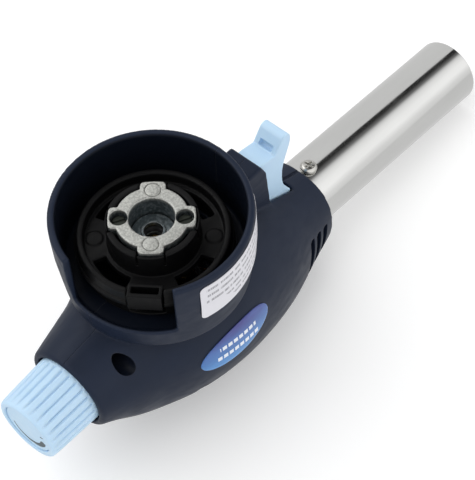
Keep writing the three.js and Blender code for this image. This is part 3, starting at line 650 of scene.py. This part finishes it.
# The navy casing gets painted shade inside its cup and screw wells.
NAVY = moulded_plastic(
    "navy plastic", (0.0115, 0.018, 0.037), 0.43, hollow_shade=0.3, Specular_IOR_Level=0.17
)
BLACK = moulded_plastic(
    "black plastic", (0.0035, 0.0035, 0.004), 0.46, wear_and_sheen=0.1, Specular_IOR_Level=0.17
)
BLUE = moulded_plastic(
    "light blue plastic", (0.505, 0.7, 0.885), 0.36, texture=0.006, variation=0.03, wear_and_sheen=0.0,
    Subsurface_Weight=0.12, Subsurface_Radius=(0.0012, 0.0014, 0.0018), Subsurface_Scale=1.0,
)
WHITE = moulded_plastic("natural plastic", (0.72, 0.71, 0.66), 0.45, wear_and_sheen=0.0)
ZINC = cast_zinc("zinc casting")
TUBE_STEEL = drawn_steel("bright tube steel", (0.74, 0.74, 0.73), 0.1, TUBE["dip"])
SCREW_STEEL = machined_metal("plated screw steel", (0.62, 0.61, 0.58), 0.22)
# Dark steel for screws deep in their wells: painted shade.
SHADE_DARK_STEEL = machined_metal("screw steel in painted shade", (0.045, 0.05, 0.043), 0.42, 0.5)
PLAIN_STEEL = machined_metal("plain steel", (0.5, 0.5, 0.5), 0.3)
BURNER_STEEL = machined_metal("burner steel", (0.5, 0.48, 0.45), 0.34, 0.6)
BRASS = machined_metal("turned brass", (0.62, 0.42, 0.14), 0.26)
COPPER = machined_metal("copper pipe", (0.68, 0.33, 0.2), 0.28, 0.5)
RUBBER = soft_rubber("nitrile rubber", (0.015, 0.015, 0.016))
SLEEVE = soft_rubber("lead sleeve", (0.03, 0.03, 0.035))
CERAMIC = glazed_ceramic("glazed ceramic")
LABEL_FILM = label_film("label film")
BADGE_FILM = badge_film("badge film")
INK = moulded_plastic("grey ink", (0.08, 0.11, 0.125), 0.5, wear_and_sheen=0.0)

SLOT_MATERIALS = {
    "shell": NAVY,
    "base": BLACK,
    "controls": BLUE,
    "connector": ZINC,
    "tube": TUBE_STEEL,
    "burner": BURNER_STEEL,
    "screws": SCREW_STEEL,
    "steel": PLAIN_STEEL,
    "brass": BRASS,
    "copper": COPPER,
    "seals": RUBBER,
    "lead": SLEEVE,
    "ceramic": CERAMIC,
    "plunger": WHITE,
    "label": LABEL_FILM,
    "badge": BADGE_FILM,
}


def smooth_by_angle():
    """A modifier's node group that shades a faceted CAD node smooth and keeps its sharp edges."""
    angle = 32
    group = bpy.data.node_groups.new("smooth_by_angle", "GeometryNodeTree")
    group.interface.new_socket("Geometry", in_out="INPUT", socket_type="NodeSocketGeometry")
    group.interface.new_socket("Geometry", in_out="OUTPUT", socket_type="NodeSocketGeometry")
    add = group.nodes.new
    start, end = add("NodeGroupInput"), add("NodeGroupOutput")
    weld = add("GeometryNodeMergeByDistance")
    weld.inputs["Distance"].default_value = 0.003 * MM
    smooth = add("GeometryNodeSetShadeSmooth")
    crease = add("GeometryNodeSetShadeSmooth")
    crease.domain = "EDGE"
    crease.inputs["Shade Smooth"].default_value = False
    fold = add("GeometryNodeInputMeshEdgeAngle")
    sharp = add("FunctionNodeCompare")
    sharp.operation = "GREATER_THAN"
    sharp.inputs[1].default_value = math.radians(angle)
    link = group.links.new
    link(start.outputs[0], weld.inputs["Geometry"])
    link(weld.outputs[0], smooth.inputs["Geometry"])
    link(smooth.outputs[0], crease.inputs["Geometry"])
    link(fold.outputs["Unsigned Angle"], sharp.inputs[0])
    link(sharp.outputs[0], crease.inputs["Selection"])
    link(crease.outputs[0], end.inputs[0])
    return group


def dress_cad_nodes():
    group = smooth_by_angle()
    for part in frame["record"]["subparts"]:
        node = nodes[part["node"]]
        material = SLOT_MATERIALS[part["material_slot"]]
        # The connector screws sit deep in their wells; their dark steel is painted shade.
        if part["node"].startswith("connector_screw"):
            material = SHADE_DARK_STEEL
        if part["node"] == "seat_ring":
            material = ZINC
        for material_slot in node.material_slots:
            material_slot.material = material
        node.modifiers.new("smooth by angle", "NODES").node_group = group


# ---- Casings ----


def casing_outside():
    cup = turned(
        "cup",
        rounded(
            [
                (0, -33.5), (19, -33.5, 2), (24.6, -31, 4), (27.2, -27, 4),
                (CUP["foot_radius"], CUP["foot_z"], 6), (28.75, -11, 10), (CUP["radius"], -3, 8),
                (CUP["radius"], 0, 0.55), (0, 0),
            ]
        ),
        segments=200,
    )
    guide = plate(
        rounded(
            [
                (20, -15.6), (39.4, -15.6, 0.8), (41.4, -19.9, 2), (42.6, -36, 2), (42.8, -44),
                (20, -44),
            ]
        ),
        6.1,
    )
    bevel = guide.modifiers.new("edges", "BEVEL")
    bevel.width = 0.5 * MM
    bevel.segments = 3
    bevel.limit_method = "ANGLE"
    bevel.angle_limit = math.radians(60)
    settle(guide)
    beyond_collar = block((-40, -40, COLLAR_AT), (40, 40, COLLAR_AT + 30), TUBE_FRAME)
    body = body_loft(0, STATIONS[0][0], 64, rounding=1.1)
    return cut(join(body, cup, guide), beyond_collar)


def casing_inside():
    """Everything that is hollow inside the casings."""
    end_wall = block((-40, -40, COLLAR_AT - WALL), (40, 40, COLLAR_AT + 30), TUBE_FRAME)
    cavity = cut(body_loft(WALL, -35.2, 62, steps=70, around=96), end_wall)
    cup_bore = turned(
        "cup_bore",
        rounded(
            [
                (0, CUP["floor_z"]), (26.4, CUP["floor_z"], 0.8), (CUP["bore"], -0.5, 0.3),
                (CUP["bore"] + 0.5, 0.02), (CUP["bore"] + 0.5, 1), (0, 1),
            ]
        ),
        segments=200,
    )
    under_cup = turned(
        "under_cup",
        [(0, -31), (18.5, -31), (22.5, -29.2), (24.8, -26.5), (25, -23.5), (0, -23.5)],
        segments=96,
    )
    window = sector(22, 34, WINDOW["floor_z"], 2, WINDOW["from"], WINDOW["to"])
    return join(
        cavity,
        cup_bore,
        under_cup,
        rod(19, -30, CUP["floor_z"] + 1),
        window,
        rod(TAIL_BORE, -10.6, 5, KNOB_FRAME, 128),
        rod(3.4, -16, -5, KNOB_FRAME),
        rod(TUBE["radius"] + GAP, 26, COLLAR_AT + 2, TUBE_FRAME, 128),
        block((12.2, -5.2, -36.2), (33.2, 5.2, -25.8)),
        block((33, -4.65, -52), (54.4, 4.65, -17)),
    )


def casing_ribs():
    places = [(x, z) for x, z, _, _ in SHELL_SCREWS.values()]
    bosses = [move(rod(SCREW["boss"], -30, 30, ON_Y, 32), x=x, z=z) for x, z in places]
    valve_rib = cut(block((-19, -30, -57), (-17, 30, -37)), rod(6.3, -70, 0, KNOB_FRAME, 48))
    tube_rib = ring(TUBE["radius"] + GAP, 24, 23, 25, TUBE_FRAME, 64)
    return join(valve_rib, tube_rib, *bosses)


def casing_openings():
    """The screw holes and the air slots beside the flame tube."""
    tools = []
    for x, z, seat_y, tip_y in SHELL_SCREWS.values():
        tools.append(move(rod(SCREW["shank"] + GAP, -tip_y - 1.2, 30, ON_Y, 24), x=x, z=z))
        tools.append(move(rod(SCREW["seat"], -seat_y, 40, ON_Y, 64), x=x, z=z))
    half_width = VENTS["width"] / 2
    for row in range(VENTS["rows"]):
        top = VENT_HEIGHTS["top"] - VENT_HEIGHTS["drop"] * row
        height = top - VENT_HEIGHTS["foot"]
        for side in (-1, 1):
            slot = block((-half_width, -7, -height), (half_width, 7, 0))
            bevel = slot.modifiers.new("ends", "BEVEL")
            bevel.width = 1.1 * MM
            bevel.segments = 4
            settle(slot)
            slot.data.transform(Matrix.Rotation(math.radians(VENTS["lean"]), 4, "Y"))
            tools.append(move(slot, VENTS["x"] + VENTS["pitch"] * row, side * 19, top))
    return tools


def add_casings():
    walls = cut(casing_outside(), casing_inside())
    ribs = common(casing_ribs(), body_loft(WALL / 2, -38, 61, steps=60, around=72))
    # A shallow channel runs along the parting line from the trigger to the collar.
    channel = cut(block((54, -0.6, -48), (66, 0.6, -38)), body_loft(0.5, 50, 64, steps=20, around=96))
    whole = cut(soften(join(walls, ribs), 0.42, 3, 0.5), *casing_openings(), channel)
    for name, node, low, high in (
        ("right_casing", "shell_right", -60, -SEAM),
        ("left_casing", "shell_left", SEAM, 60),
    ):
        half = whole.copy()
        half.data = whole.data.copy()
        bpy.context.scene.collection.objects.link(half)
        half = shade(common(half, block((-80, low, -100), (160, high, 20))), 50)
        finish_piece(half, name, "body", NAVY, "shell", node)
    bpy.data.objects.remove(whole)


# ---- Knob ----


def flute(angle):
    """How deep in a groove this angle is, from 0 on a ridge to 1 at a groove's middle."""
    share = abs((angle * FLUTES / (2 * math.pi) + 0.5) % 1 - 0.5) * 2  # 0 in the groove, 1 on the ridge
    t = min(share / 0.42, 1)
    return 1 - t * t * (3 - 2 * t)


def add_knob():
    inner, outer, radius = KNOB["inner"], KNOB["outer"], KNOB["radius"]
    groove_start, groove_end = inner + 1.3, outer - 2.7

    def wave(angle, r, z):
        if r < radius - 2.2:
            return r
        reach = min(max((z - groove_start) / 0.9, 0), max((groove_end - z) / 1.3, 0), 1)
        return r - FLUTE_DEPTH * flute(angle) * reach * reach * (3 - 2 * reach)

    def side(z):
        return radius - KNOB_TAPER * z

    corners = rounded(
        [
            (2.2, outer - 1.7), (8.6, outer - 1.7, 0.25), (8.6, outer, 0.35),
            (side(outer) - 0.15, outer, 1.9), (side(outer - 4), outer - 4),
        ],
        steps=8,
    )
    rows = 44
    grip = [(side(z), z) for z in np.linspace(outer - 4, inner + 1, rows)[1:]]
    hollow = rounded(
        [
            (side(inner + 1), inner + 1), (side(inner) - 0.1, inner, 0.5), (9.4, inner, 0.3),
            (9.4, 5.4, 0.8), (4.6, 5.4, 0.8), (4.6, inner, 0.3), (2.8, inner, 0.3), (2.8, 3.6),
            (1.3, 3.6), (1.3, 5), (2.2, 5), (2.2, outer - 1.7),
        ]
    )
    profile = corners + grip + hollow[1:-1]
    grip_piece = shade(turned("gas_grip", profile, KNOB_FRAME, FLUTES * 18, wave), 50)
    finish_piece(grip_piece, "gas_grip", "knob", BLUE, "controls", "gas_knob")

    top = outer - 0.5
    face = rounded([(0, outer - 1.4), (8.4, outer - 1.4, 0.15), (8.4, top, 0.3), (0, top)])
    disc = shade(turned("grip_disc", face, KNOB_FRAME, 160))
    finish_piece(disc, "grip_disc", "knob", BLUE, "controls", "knob_cap")
    add_flow_mark(top)


def add_flow_mark(top):
    """The printed wedge on the knob's face, from a fine point to a blunt end, with a short tick."""
    outer_arc, inner_arc = [], []
    steps = 48
    for i in range(steps + 1):
        t = i / steps
        angle = math.radians(105 + 157 * t)
        middle = 5.9 + 0.25 * t
        half = 0.08 + 1.0 * t**1.5
        if t > 0.94:
            half *= math.sqrt(max(1 - ((t - 0.94) / 0.06) ** 2, 0.0004))
        direction = Vector((math.cos(angle), math.sin(angle)))
        outer_arc.append(tuple(direction * (middle + half)))
        inner_arc.append(tuple(direction * (middle - half)))
    wedge = prism(outer_arc + inner_arc[::-1], top + 0.01, top + 0.07)
    tick = prism([(5.6, -0.2), (6.9, -0.08), (6.9, 0.08), (5.6, 0.2)], top + 0.01, top + 0.07)
    turn_z(tick, 287)
    mark = outward(join(wedge, tick))
    mark.data.transform(KNOB_FRAME)
    finish_piece(shade(mark), "flow_mark", "knob", INK, "controls")


# ---- Trigger ----


def add_trigger():
    outline = curve(
        (50.4, -14.8), [(51.5, -13.7), (52.9, -14.2)], [(54.4, -14.9), (54.2, -17.6)],
        [(54, -20.5), (51, -24), (50.2, -29)], [(49.7, -33), (49.9, -37.5), (53.4, -41.4)],
        [(53.4, -43)], [(50.5, -45.4)], [(43.2, -45.4)], [(43.2, -36.2)], [(37.4, -36.2)],
        [(37.4, -17.6)], [(42, -17.8)], [(46.6, -19)], [(47.1, -19.2), (47.4, -18.8)],
        [(50.4, -14.8)],
    )[:-1]
    finger = plate(outline, 4.3)
    core = block((-1, -2.5, -1.1), (1.8, 2.5, 1.1))
    core.data.transform(Matrix.Rotation(math.radians(35), 4, "Y"))
    finger = cut(finger, move(core, 47.9, 0, -18.1))
    soften(finger, 0.2, 5, 0.5)
    finish_piece(finger, "trigger_finger", "trigger", BLUE, "controls", "trigger")


# ---- Cartridge seat ----


def around_hub(piece, angle, distance=EAR_CENTRE):
    turn = math.radians(angle)
    return move(piece, distance * math.cos(turn), distance * math.sin(turn))


def turn_z(piece, angle):
    piece.data.transform(Matrix.Rotation(math.radians(angle), 4, "Z"))
    return piece


def add_seat():
    low, top, edge = SEAT["low_z"], SEAT["top_z"], SEAT["radius"]
    skirt_z = CUP["floor_z"] + GAP
    disc = turned(
        "disc",
        rounded(
            [
                (8, low), (edge - 3.4, low), (edge - 3.4, skirt_z), (edge - 1.9, skirt_z, 0.3),
                (edge - 1.9, low, 0.3), (edge, low, 0.3), (edge, top, 0.5),
                (SEAT["ridge_out"], top, 0.2), (SEAT["ridge_out"] - 0.4, SEAT["ridge_z"], 0.6),
                (SEAT["ridge_in"], SEAT["ridge_z"], 0.6), (SEAT["ridge_in"], top, 0.4), (8, top),
            ]
        ),
        segments=180,
    )
    wall = [(HUB["in"], top - 0.5), (HUB["out"], top - 0.5)]
    wall += [(HUB["out"], HUB["top_z"], 0.35), (HUB["in"], HUB["top_z"], 0.3)]
    hub = turned("hub", rounded(wall), segments=128)
    # Each ear drops into a notch; a slot at either side of it frees a tab of the hub's wall.
    half, foot, slot = HUB["notch_half"], HUB["notch_z"], HUB["slot"] / 2
    notches, slots = [], []
    for angle in EARS:
        notch = common(block((5, -half, foot), (16, half, 0)), rod(12.75, foot, 0))
        notches.append(turn_z(notch, angle))
        for y in (-half, half):
            slots.append(turn_z(block((12, y - slot, foot - 1), (15, y + slot, 0)), angle))
    post_z = CONNECTOR["ear_foot"] - GAP
    posts = [around_hub(rod(3, top - 0.5, post_z, segments=32), a) for a in SCREW_EARS]
    pads = [around_hub(rod(2.4, top - 0.5, top + 0.3, segments=48), a, 17) for a in SCREW_EARS]
    openings = [sector(14.8, 18.6, top - 3, top + 1, a + 24, a + 66) for a in EARS]
    holes = [around_hub(rod(1.5, top - 4, 0, segments=24), a) for a in SCREW_EARS]
    catch_seat = turn_z(block((18.1, -5.2, -20.4), (27.2, 5.2, -5)), CATCH_AT)
    base = join(cut(join(disc, hub), *notches), *posts, *pads)
    base = soften(cut(base, *openings, *holes, rod(8, top - 4, 0), catch_seat), 0.22, 3, 0.4)
    shade(cut(base, *slots), 50)
    finish_piece(base, "seat_disc", "body", BLACK, "base", "cartridge_base")

    lug = cut(block((18.4, -4.9, -15.6), (22.9, 4.9, -9.4)), block((19.3, -3.9, -14), (21.5, 3.9, -8)))
    soften(turn_z(lug, CATCH_AT), 0.16, 4, 0.5)
    finish_piece(lug, "catch_lug", "body", BLACK, "base", "locating_catch")


def ear_outline():
    half = 3.65
    return rounded([(6, -half), (12.2, -half, 1.3), (12.45, 0, 14), (12.2, half, 1.3), (6, half)])


def add_connector():
    top, foot, bore_radius = CONNECTOR["top_z"], CONNECTOR["ear_foot"], CONNECTOR["bore"]
    seat_z, plate_radius = CONNECTOR["bore_z"], CONNECTOR["ring"]
    body = turned(
        "zinc",
        rounded(
            [
                (0, -33), (4, -33, 0.4), (4, -20, 1), (6, -19, 1), (7.65, -16, 1),
                (7.65, foot, 0.5), (plate_radius, foot, 0.5), (plate_radius, top, 0.35), (0, top),
            ]
        ),
    )
    ears = [turn_z(prism(ear_outline(), foot, top), a) for a in EARS]
    pin = rounded([(0, -3.5), (2.2, -3.5), (2.2, -2.9, 0.25), (0, -2.85)])
    pins = [around_hub(turned("pin", pin, segments=64), a) for a in PIN_EARS]
    pin_seats = [around_hub(rod(2.5, -3.4, -2, segments=64), a) for a in PIN_EARS]
    wells = [around_hub(rod(EAR_HOLE, foot + 0.6, 0, segments=48), a) for a in SCREW_EARS]
    holes = [around_hub(rod(1.5, foot - 1, 0, segments=32), a) for a in SCREW_EARS]
    bore = turned(
        "bore",
        [
            (0, -34), (1.2, -34), (1.2, -17.5), (2.8, -16.8), (2.8, seat_z - 3), (4.6, seat_z - 3),
            (4.6, seat_z), (bore_radius, seat_z), (bore_radius, top - 0.3),
            (bore_radius + 0.3, top), (bore_radius + 0.3, 0), (0, 0),
        ],
    )
    casting = soften(cut(join(body, *ears), bore, *wells, *holes), 0.16, 4, 0.4)
    casting = shade(join(cut(casting, *pin_seats), *pins), 40)
    finish_piece(casting, "gas_connector", "body", ZINC, "connector", "bayonet_connector")


# ---- Flame tube and screws ----


def add_flame_tube():
    t = TUBE
    inner = t["radius"] - t["wall"]
    profile = rounded(
        [
            (inner, t["from"]), (t["radius"], t["from"], 0.1), (t["radius"], t["to"], 0.25),
            (inner, t["to"], 0.25),
        ]
    )
    tube = shade(turned("steel_tube", profile, TUBE_FRAME, 180), 40)
    finish_piece(tube, "steel_tube", "body", TUBE_STEEL, "tube", "flame_tube")


def cross_screw(head, tip, shank, head_radius, recess):
    """A pan-head cross screw along +Z, the seat of its head at z 0."""
    profile = rounded(
        [
            (0, tip), (shank * 0.6, tip + 0.3), (shank, tip + 1.4, 0.3), (shank, 0),
            (head_radius, 0, 0.15), (head_radius, head * 0.4, 0.3),
            (head_radius * 0.75, head * 0.85, 0.8), (0, head * 1.05),
        ]
    )
    screw = turned("screw", profile, segments=64)
    depth = head * 0.35
    wings = [turn_z(block((-recess, -0.32, depth), (recess, 0.32, head * 2)), a) for a in (0, 90)]
    return cut(screw, *wings)


def add_screws():
    screw = cross_screw(1.7, -4.2, 1.2, 2.75, 1.55)
    up_from_tube = Matrix.Rotation(-math.pi / 2, 4, "Y")
    place = Matrix.Translation(Vector((-TUBE["radius"] - GAP, 0, TUBE_SCREW_AT)) * MM)
    screw.data.transform(TUBE_FRAME @ place @ up_from_tube)
    soften(screw, 0.09, 3, 0.6)
    finish_piece(screw, "collar_screw", "body", SCREW_STEEL, "screws", "tube_screw")

    for node, (x, z, seat_y, tip_y) in SHELL_SCREWS.items():
        tip = seat_y - GAP - tip_y
        screw = turn_z(cross_screw(1.8, tip, SCREW["shank"], SCREW["head"], 1.3), 20)
        screw.data.transform(ON_Y)
        move(screw, x, seat_y - GAP, z)
        soften(screw, 0.1, 3, 0.5)
        name = node.replace("shell_screw", "casing_screw")
        # The casing screws sit deep in their wells; their dark steel is painted shade.
        finish_piece(screw, name, "body", SHADE_DARK_STEEL, "screws", node)


# ---- Label and badge ----


def add_label():
    """A film on the cup's outer wall, its corners rounded."""
    radius = 29.08
    thickness = 0.14
    half_length = math.radians(LABEL["to"] - LABEL["from"]) / 2 * radius
    half_height = (LABEL["high"] - LABEL["low"]) / 2
    middle = math.radians(LABEL["to"] + LABEL["from"]) / 2
    corner = LABEL["corner"]
    columns = [-half_length + corner * (1 - math.cos(math.pi / 2 * i / 10)) for i in range(10)]
    columns += list(np.linspace(-half_length + corner, half_length - corner, 90))
    columns += [-c for c in columns[9::-1]]
    rows = 16
    points, layers = [], []
    for lift in (0, thickness):
        layer = []
        for column in columns:
            into_corner = max(abs(column) - (half_length - corner), 0)
            reach = half_height - corner + math.sqrt(max(corner**2 - into_corner**2, 0))
            line = []
            for k in range(rows + 1):
                z = (LABEL["high"] + LABEL["low"]) / 2 + reach * (2 * k / rows - 1)
                angle = middle + column / radius
                r = radius + lift - max(-z - 11, 0) * 0.075
                line.append(len(points))
                points.append((r * math.cos(angle), r * math.sin(angle), z))
            layer.append(line)
        layers.append(layer)
    faces = []
    for layer in layers:
        for a, b in zip(layer, layer[1:]):
            faces += [(a[k], b[k], b[k + 1], a[k + 1]) for k in range(rows)]
    rims = []
    for layer in layers:
        foot, head = [line[0] for line in layer], [line[-1] for line in layer]
        rims.append(foot + layer[-1][1:] + head[-2::-1] + layer[0][-2:0:-1])
    faces += grid_faces(rims, False)
    film = shade(outward(mesh_object("label", points, faces)), 50)
    finish_piece(film, "cup_film", "body", LABEL_FILM, "label", "cup_label")


def add_badge():
    """A domed oval on the body's side, following its surface."""
    tilt = math.radians(BADGE["tilt"])
    rings, points = [], []
    lifts = [(t, 0.13) for t in (0.0, 0.35, 0.7, 1.0)]
    lifts += [(1.0, 0.3), (0.992, 0.4), (0.975, 0.45), (0.94, 0.48)]
    lifts += [(t, 0.48 + 0.06 * (1 - t)) for t in (0.8, 0.65, 0.5, 0.35, 0.2, 0.1, 0.0)]
    around = 120
    for share, lift in lifts:
        count = around if share > 0 else 1
        rings.append(list(range(len(points), len(points) + count)))
        for k in range(count):
            angle = 2 * math.pi * k / around
            u, v = BADGE["a"] * share * math.cos(angle), BADGE["b"] * share * math.sin(angle)
            x = BADGE["x"] + u * math.cos(tilt) - v * math.sin(tilt)
            z = BADGE["z"] + u * math.sin(tilt) + v * math.cos(tilt)
            points.append((x, surface_y(x, z, lift), z))
    badge = mesh_object("badge", points, grid_faces(rings, False))
    finish_piece(shade(outward(badge), 60), "side_oval", "body", BADGE_FILM, "badge", "side_badge")


# ---- Studio ----


def hide_from_light(piece):
    piece.visible_diffuse = False
    piece.visible_transmission = False
    piece.visible_shadow = False


def add_floor():
    reach = 1500
    points = [(-reach, -reach, 0), (reach, -reach, 0), (reach, reach, 0), (-reach, reach, 0)]
    floor = move(mesh_object("floor", points, [(0, 1, 2, 3)]), z=cad_low.z / MM - 0.3)
    glow = {"Emission_Color": (1, 1, 1, 1), "Emission_Strength": 0.27}
    paper = Paint("pale paper", (0.8, 0.8, 0.8), 0.9, **glow)
    floor.data.materials.append(
        paper.connect(
            Base_Color=paper.mix(paper.noise(120, 2), (0.79, 0.79, 0.79), (0.81, 0.81, 0.81)),
            Normal=paper.bump(paper.noise(1.5, 3), 0.01),
        )
    )
    floor.visible_glossy = False


def add_backdrop():
    """A pale screen round the floor that only the camera sees, so the floor has no far edge."""
    floor_z = cad_low.z / MM
    screen = ring(1440, 1445, floor_z - 200, floor_z + 4000)
    paint = Paint("backdrop", (0, 0, 0), 1.0, Emission_Color=(1, 1, 1, 1), Specular_IOR_Level=0.0)
    cloth = paint.spread(paint.noise(300, 2), 0.99, 1.0)
    screen.data.materials.append(paint.connect(Emission_Strength=cloth))
    hide_from_light(screen)
    screen.visible_glossy = False


def area_light(name, position, target, size, power):
    light = bpy.data.lights.new(name, "AREA")
    light.shape = "RECTANGLE"
    light.size, light.size_y = size
    light.energy = power
    lamp = bpy.data.objects.new(name, light)
    bpy.context.scene.collection.objects.link(lamp)
    lamp.location = position
    lamp.rotation_euler = (Vector(target) - lamp.location).to_track_quat("-Z", "Y").to_euler()
    return lamp


def add_reflector():
    """A curved studio card seen only in reflections: a dark strip overhead that turns white."""
    glow = (  # direction seen from the tube, in degrees above the +Y horizon, and brightness
        (70, 0.02),
        (84, 0.03), (89, 0.08), (98, 0.2), (107, 0.7), (116, 0.93), (135, 1.1), (154, 1.13),
        (163, 1.02), (174, 0.88), (190, 0.8),
    )
    start, end, radius, reach = glow[0][0], glow[-1][0], 420, 900
    steps = 60
    points = []
    for i in range(steps + 1):
        angle = math.radians(start + (end - start) * i / steps)
        y, z = radius * math.cos(angle), radius * math.sin(angle) - 60
        points += [(-reach / 3, y, z), (reach, y, z)]
    faces = [(2 * i, 2 * i + 1, 2 * i + 3, 2 * i + 2) for i in range(steps)]
    card = mesh_object("reflector", points, faces)
    paint = Paint("reflector card", (0, 0, 0), 1.0, Emission_Color=(1, 1, 1, 1), Specular_IOR_Level=0.0)
    _, y, z = paint.axes()
    turn = paint.math("ARCTAN2", paint.math("ADD", z, 60 * MM), y)
    # Places on the card below the horizon have negative angles, which wrap to beyond 180 degrees.
    turn = paint.math("WRAP", turn, 2 * math.pi, 0.0)
    strength = glow[0][1]
    for (low, first), (high, second) in zip(glow, glow[1:]):
        step = paint.spread(turn, 0.0, second - first, math.radians(low), math.radians(high))
        strength = paint.math("ADD", strength, step)
    card.data.materials.append(paint.connect(Emission_Strength=strength))
    card.visible_camera = False
    hide_from_light(card)


def add_lights():
    centre = (cad_low + cad_high) / 2
    area_light("key", centre + Vector((-0.25, 0.5, 1.05)), centre, (1.6, 1.6), 9.5)
    area_light("fill", centre + Vector((0.15, -1.0, 0.12)), centre, (1.0, 0.5), 2.2)
    add_reflector()
    world = bpy.data.worlds.new("studio")
    world.use_nodes = True
    background = world.node_tree.nodes["Background"]
    background.inputs["Color"].default_value = (1, 1, 1, 1)
    background.inputs["Strength"].default_value = 0.7
    bpy.context.scene.world = world


def add_camera():
    """The photographer's place: above and behind the knob, rolled a little."""
    azimuth, elevation, roll = (math.radians(a) for a in (-45.383, 54.671, -4.088))
    distance, right_by, up_by = 521.65, 24.04, -8.24
    back = Vector(
        (
            math.cos(elevation) * math.sin(azimuth),
            -math.cos(elevation) * math.cos(azimuth),
            math.sin(elevation),
        )
    )
    level = Vector((math.cos(azimuth), math.sin(azimuth), 0))
    upright = back.cross(level)
    right = level * math.cos(roll) + upright * math.sin(roll)
    up = -level * math.sin(roll) + upright * math.cos(roll)
    lens = bpy.data.cameras.new("camera")
    lens.sensor_width = 36
    lens.lens = 141.27
    lens.clip_start, lens.clip_end = 0.01, 20
    camera = bpy.data.objects.new("camera", lens)
    bpy.context.scene.collection.objects.link(camera)
    place = Matrix((right, up, back)).transposed().to_4x4()
    place.translation = (back * distance + up * up_by + right * right_by) * MM
    camera.matrix_world = place
    bpy.context.scene.camera = camera


dress_cad_nodes()
add_camera()
add_casings()
add_knob()
add_trigger()
add_seat()
add_connector()
add_flame_tube()
add_screws()
add_label()
add_badge()
add_floor()
add_backdrop()
add_lights()
bpy.context.scene.view_settings.view_transform = "Standard"
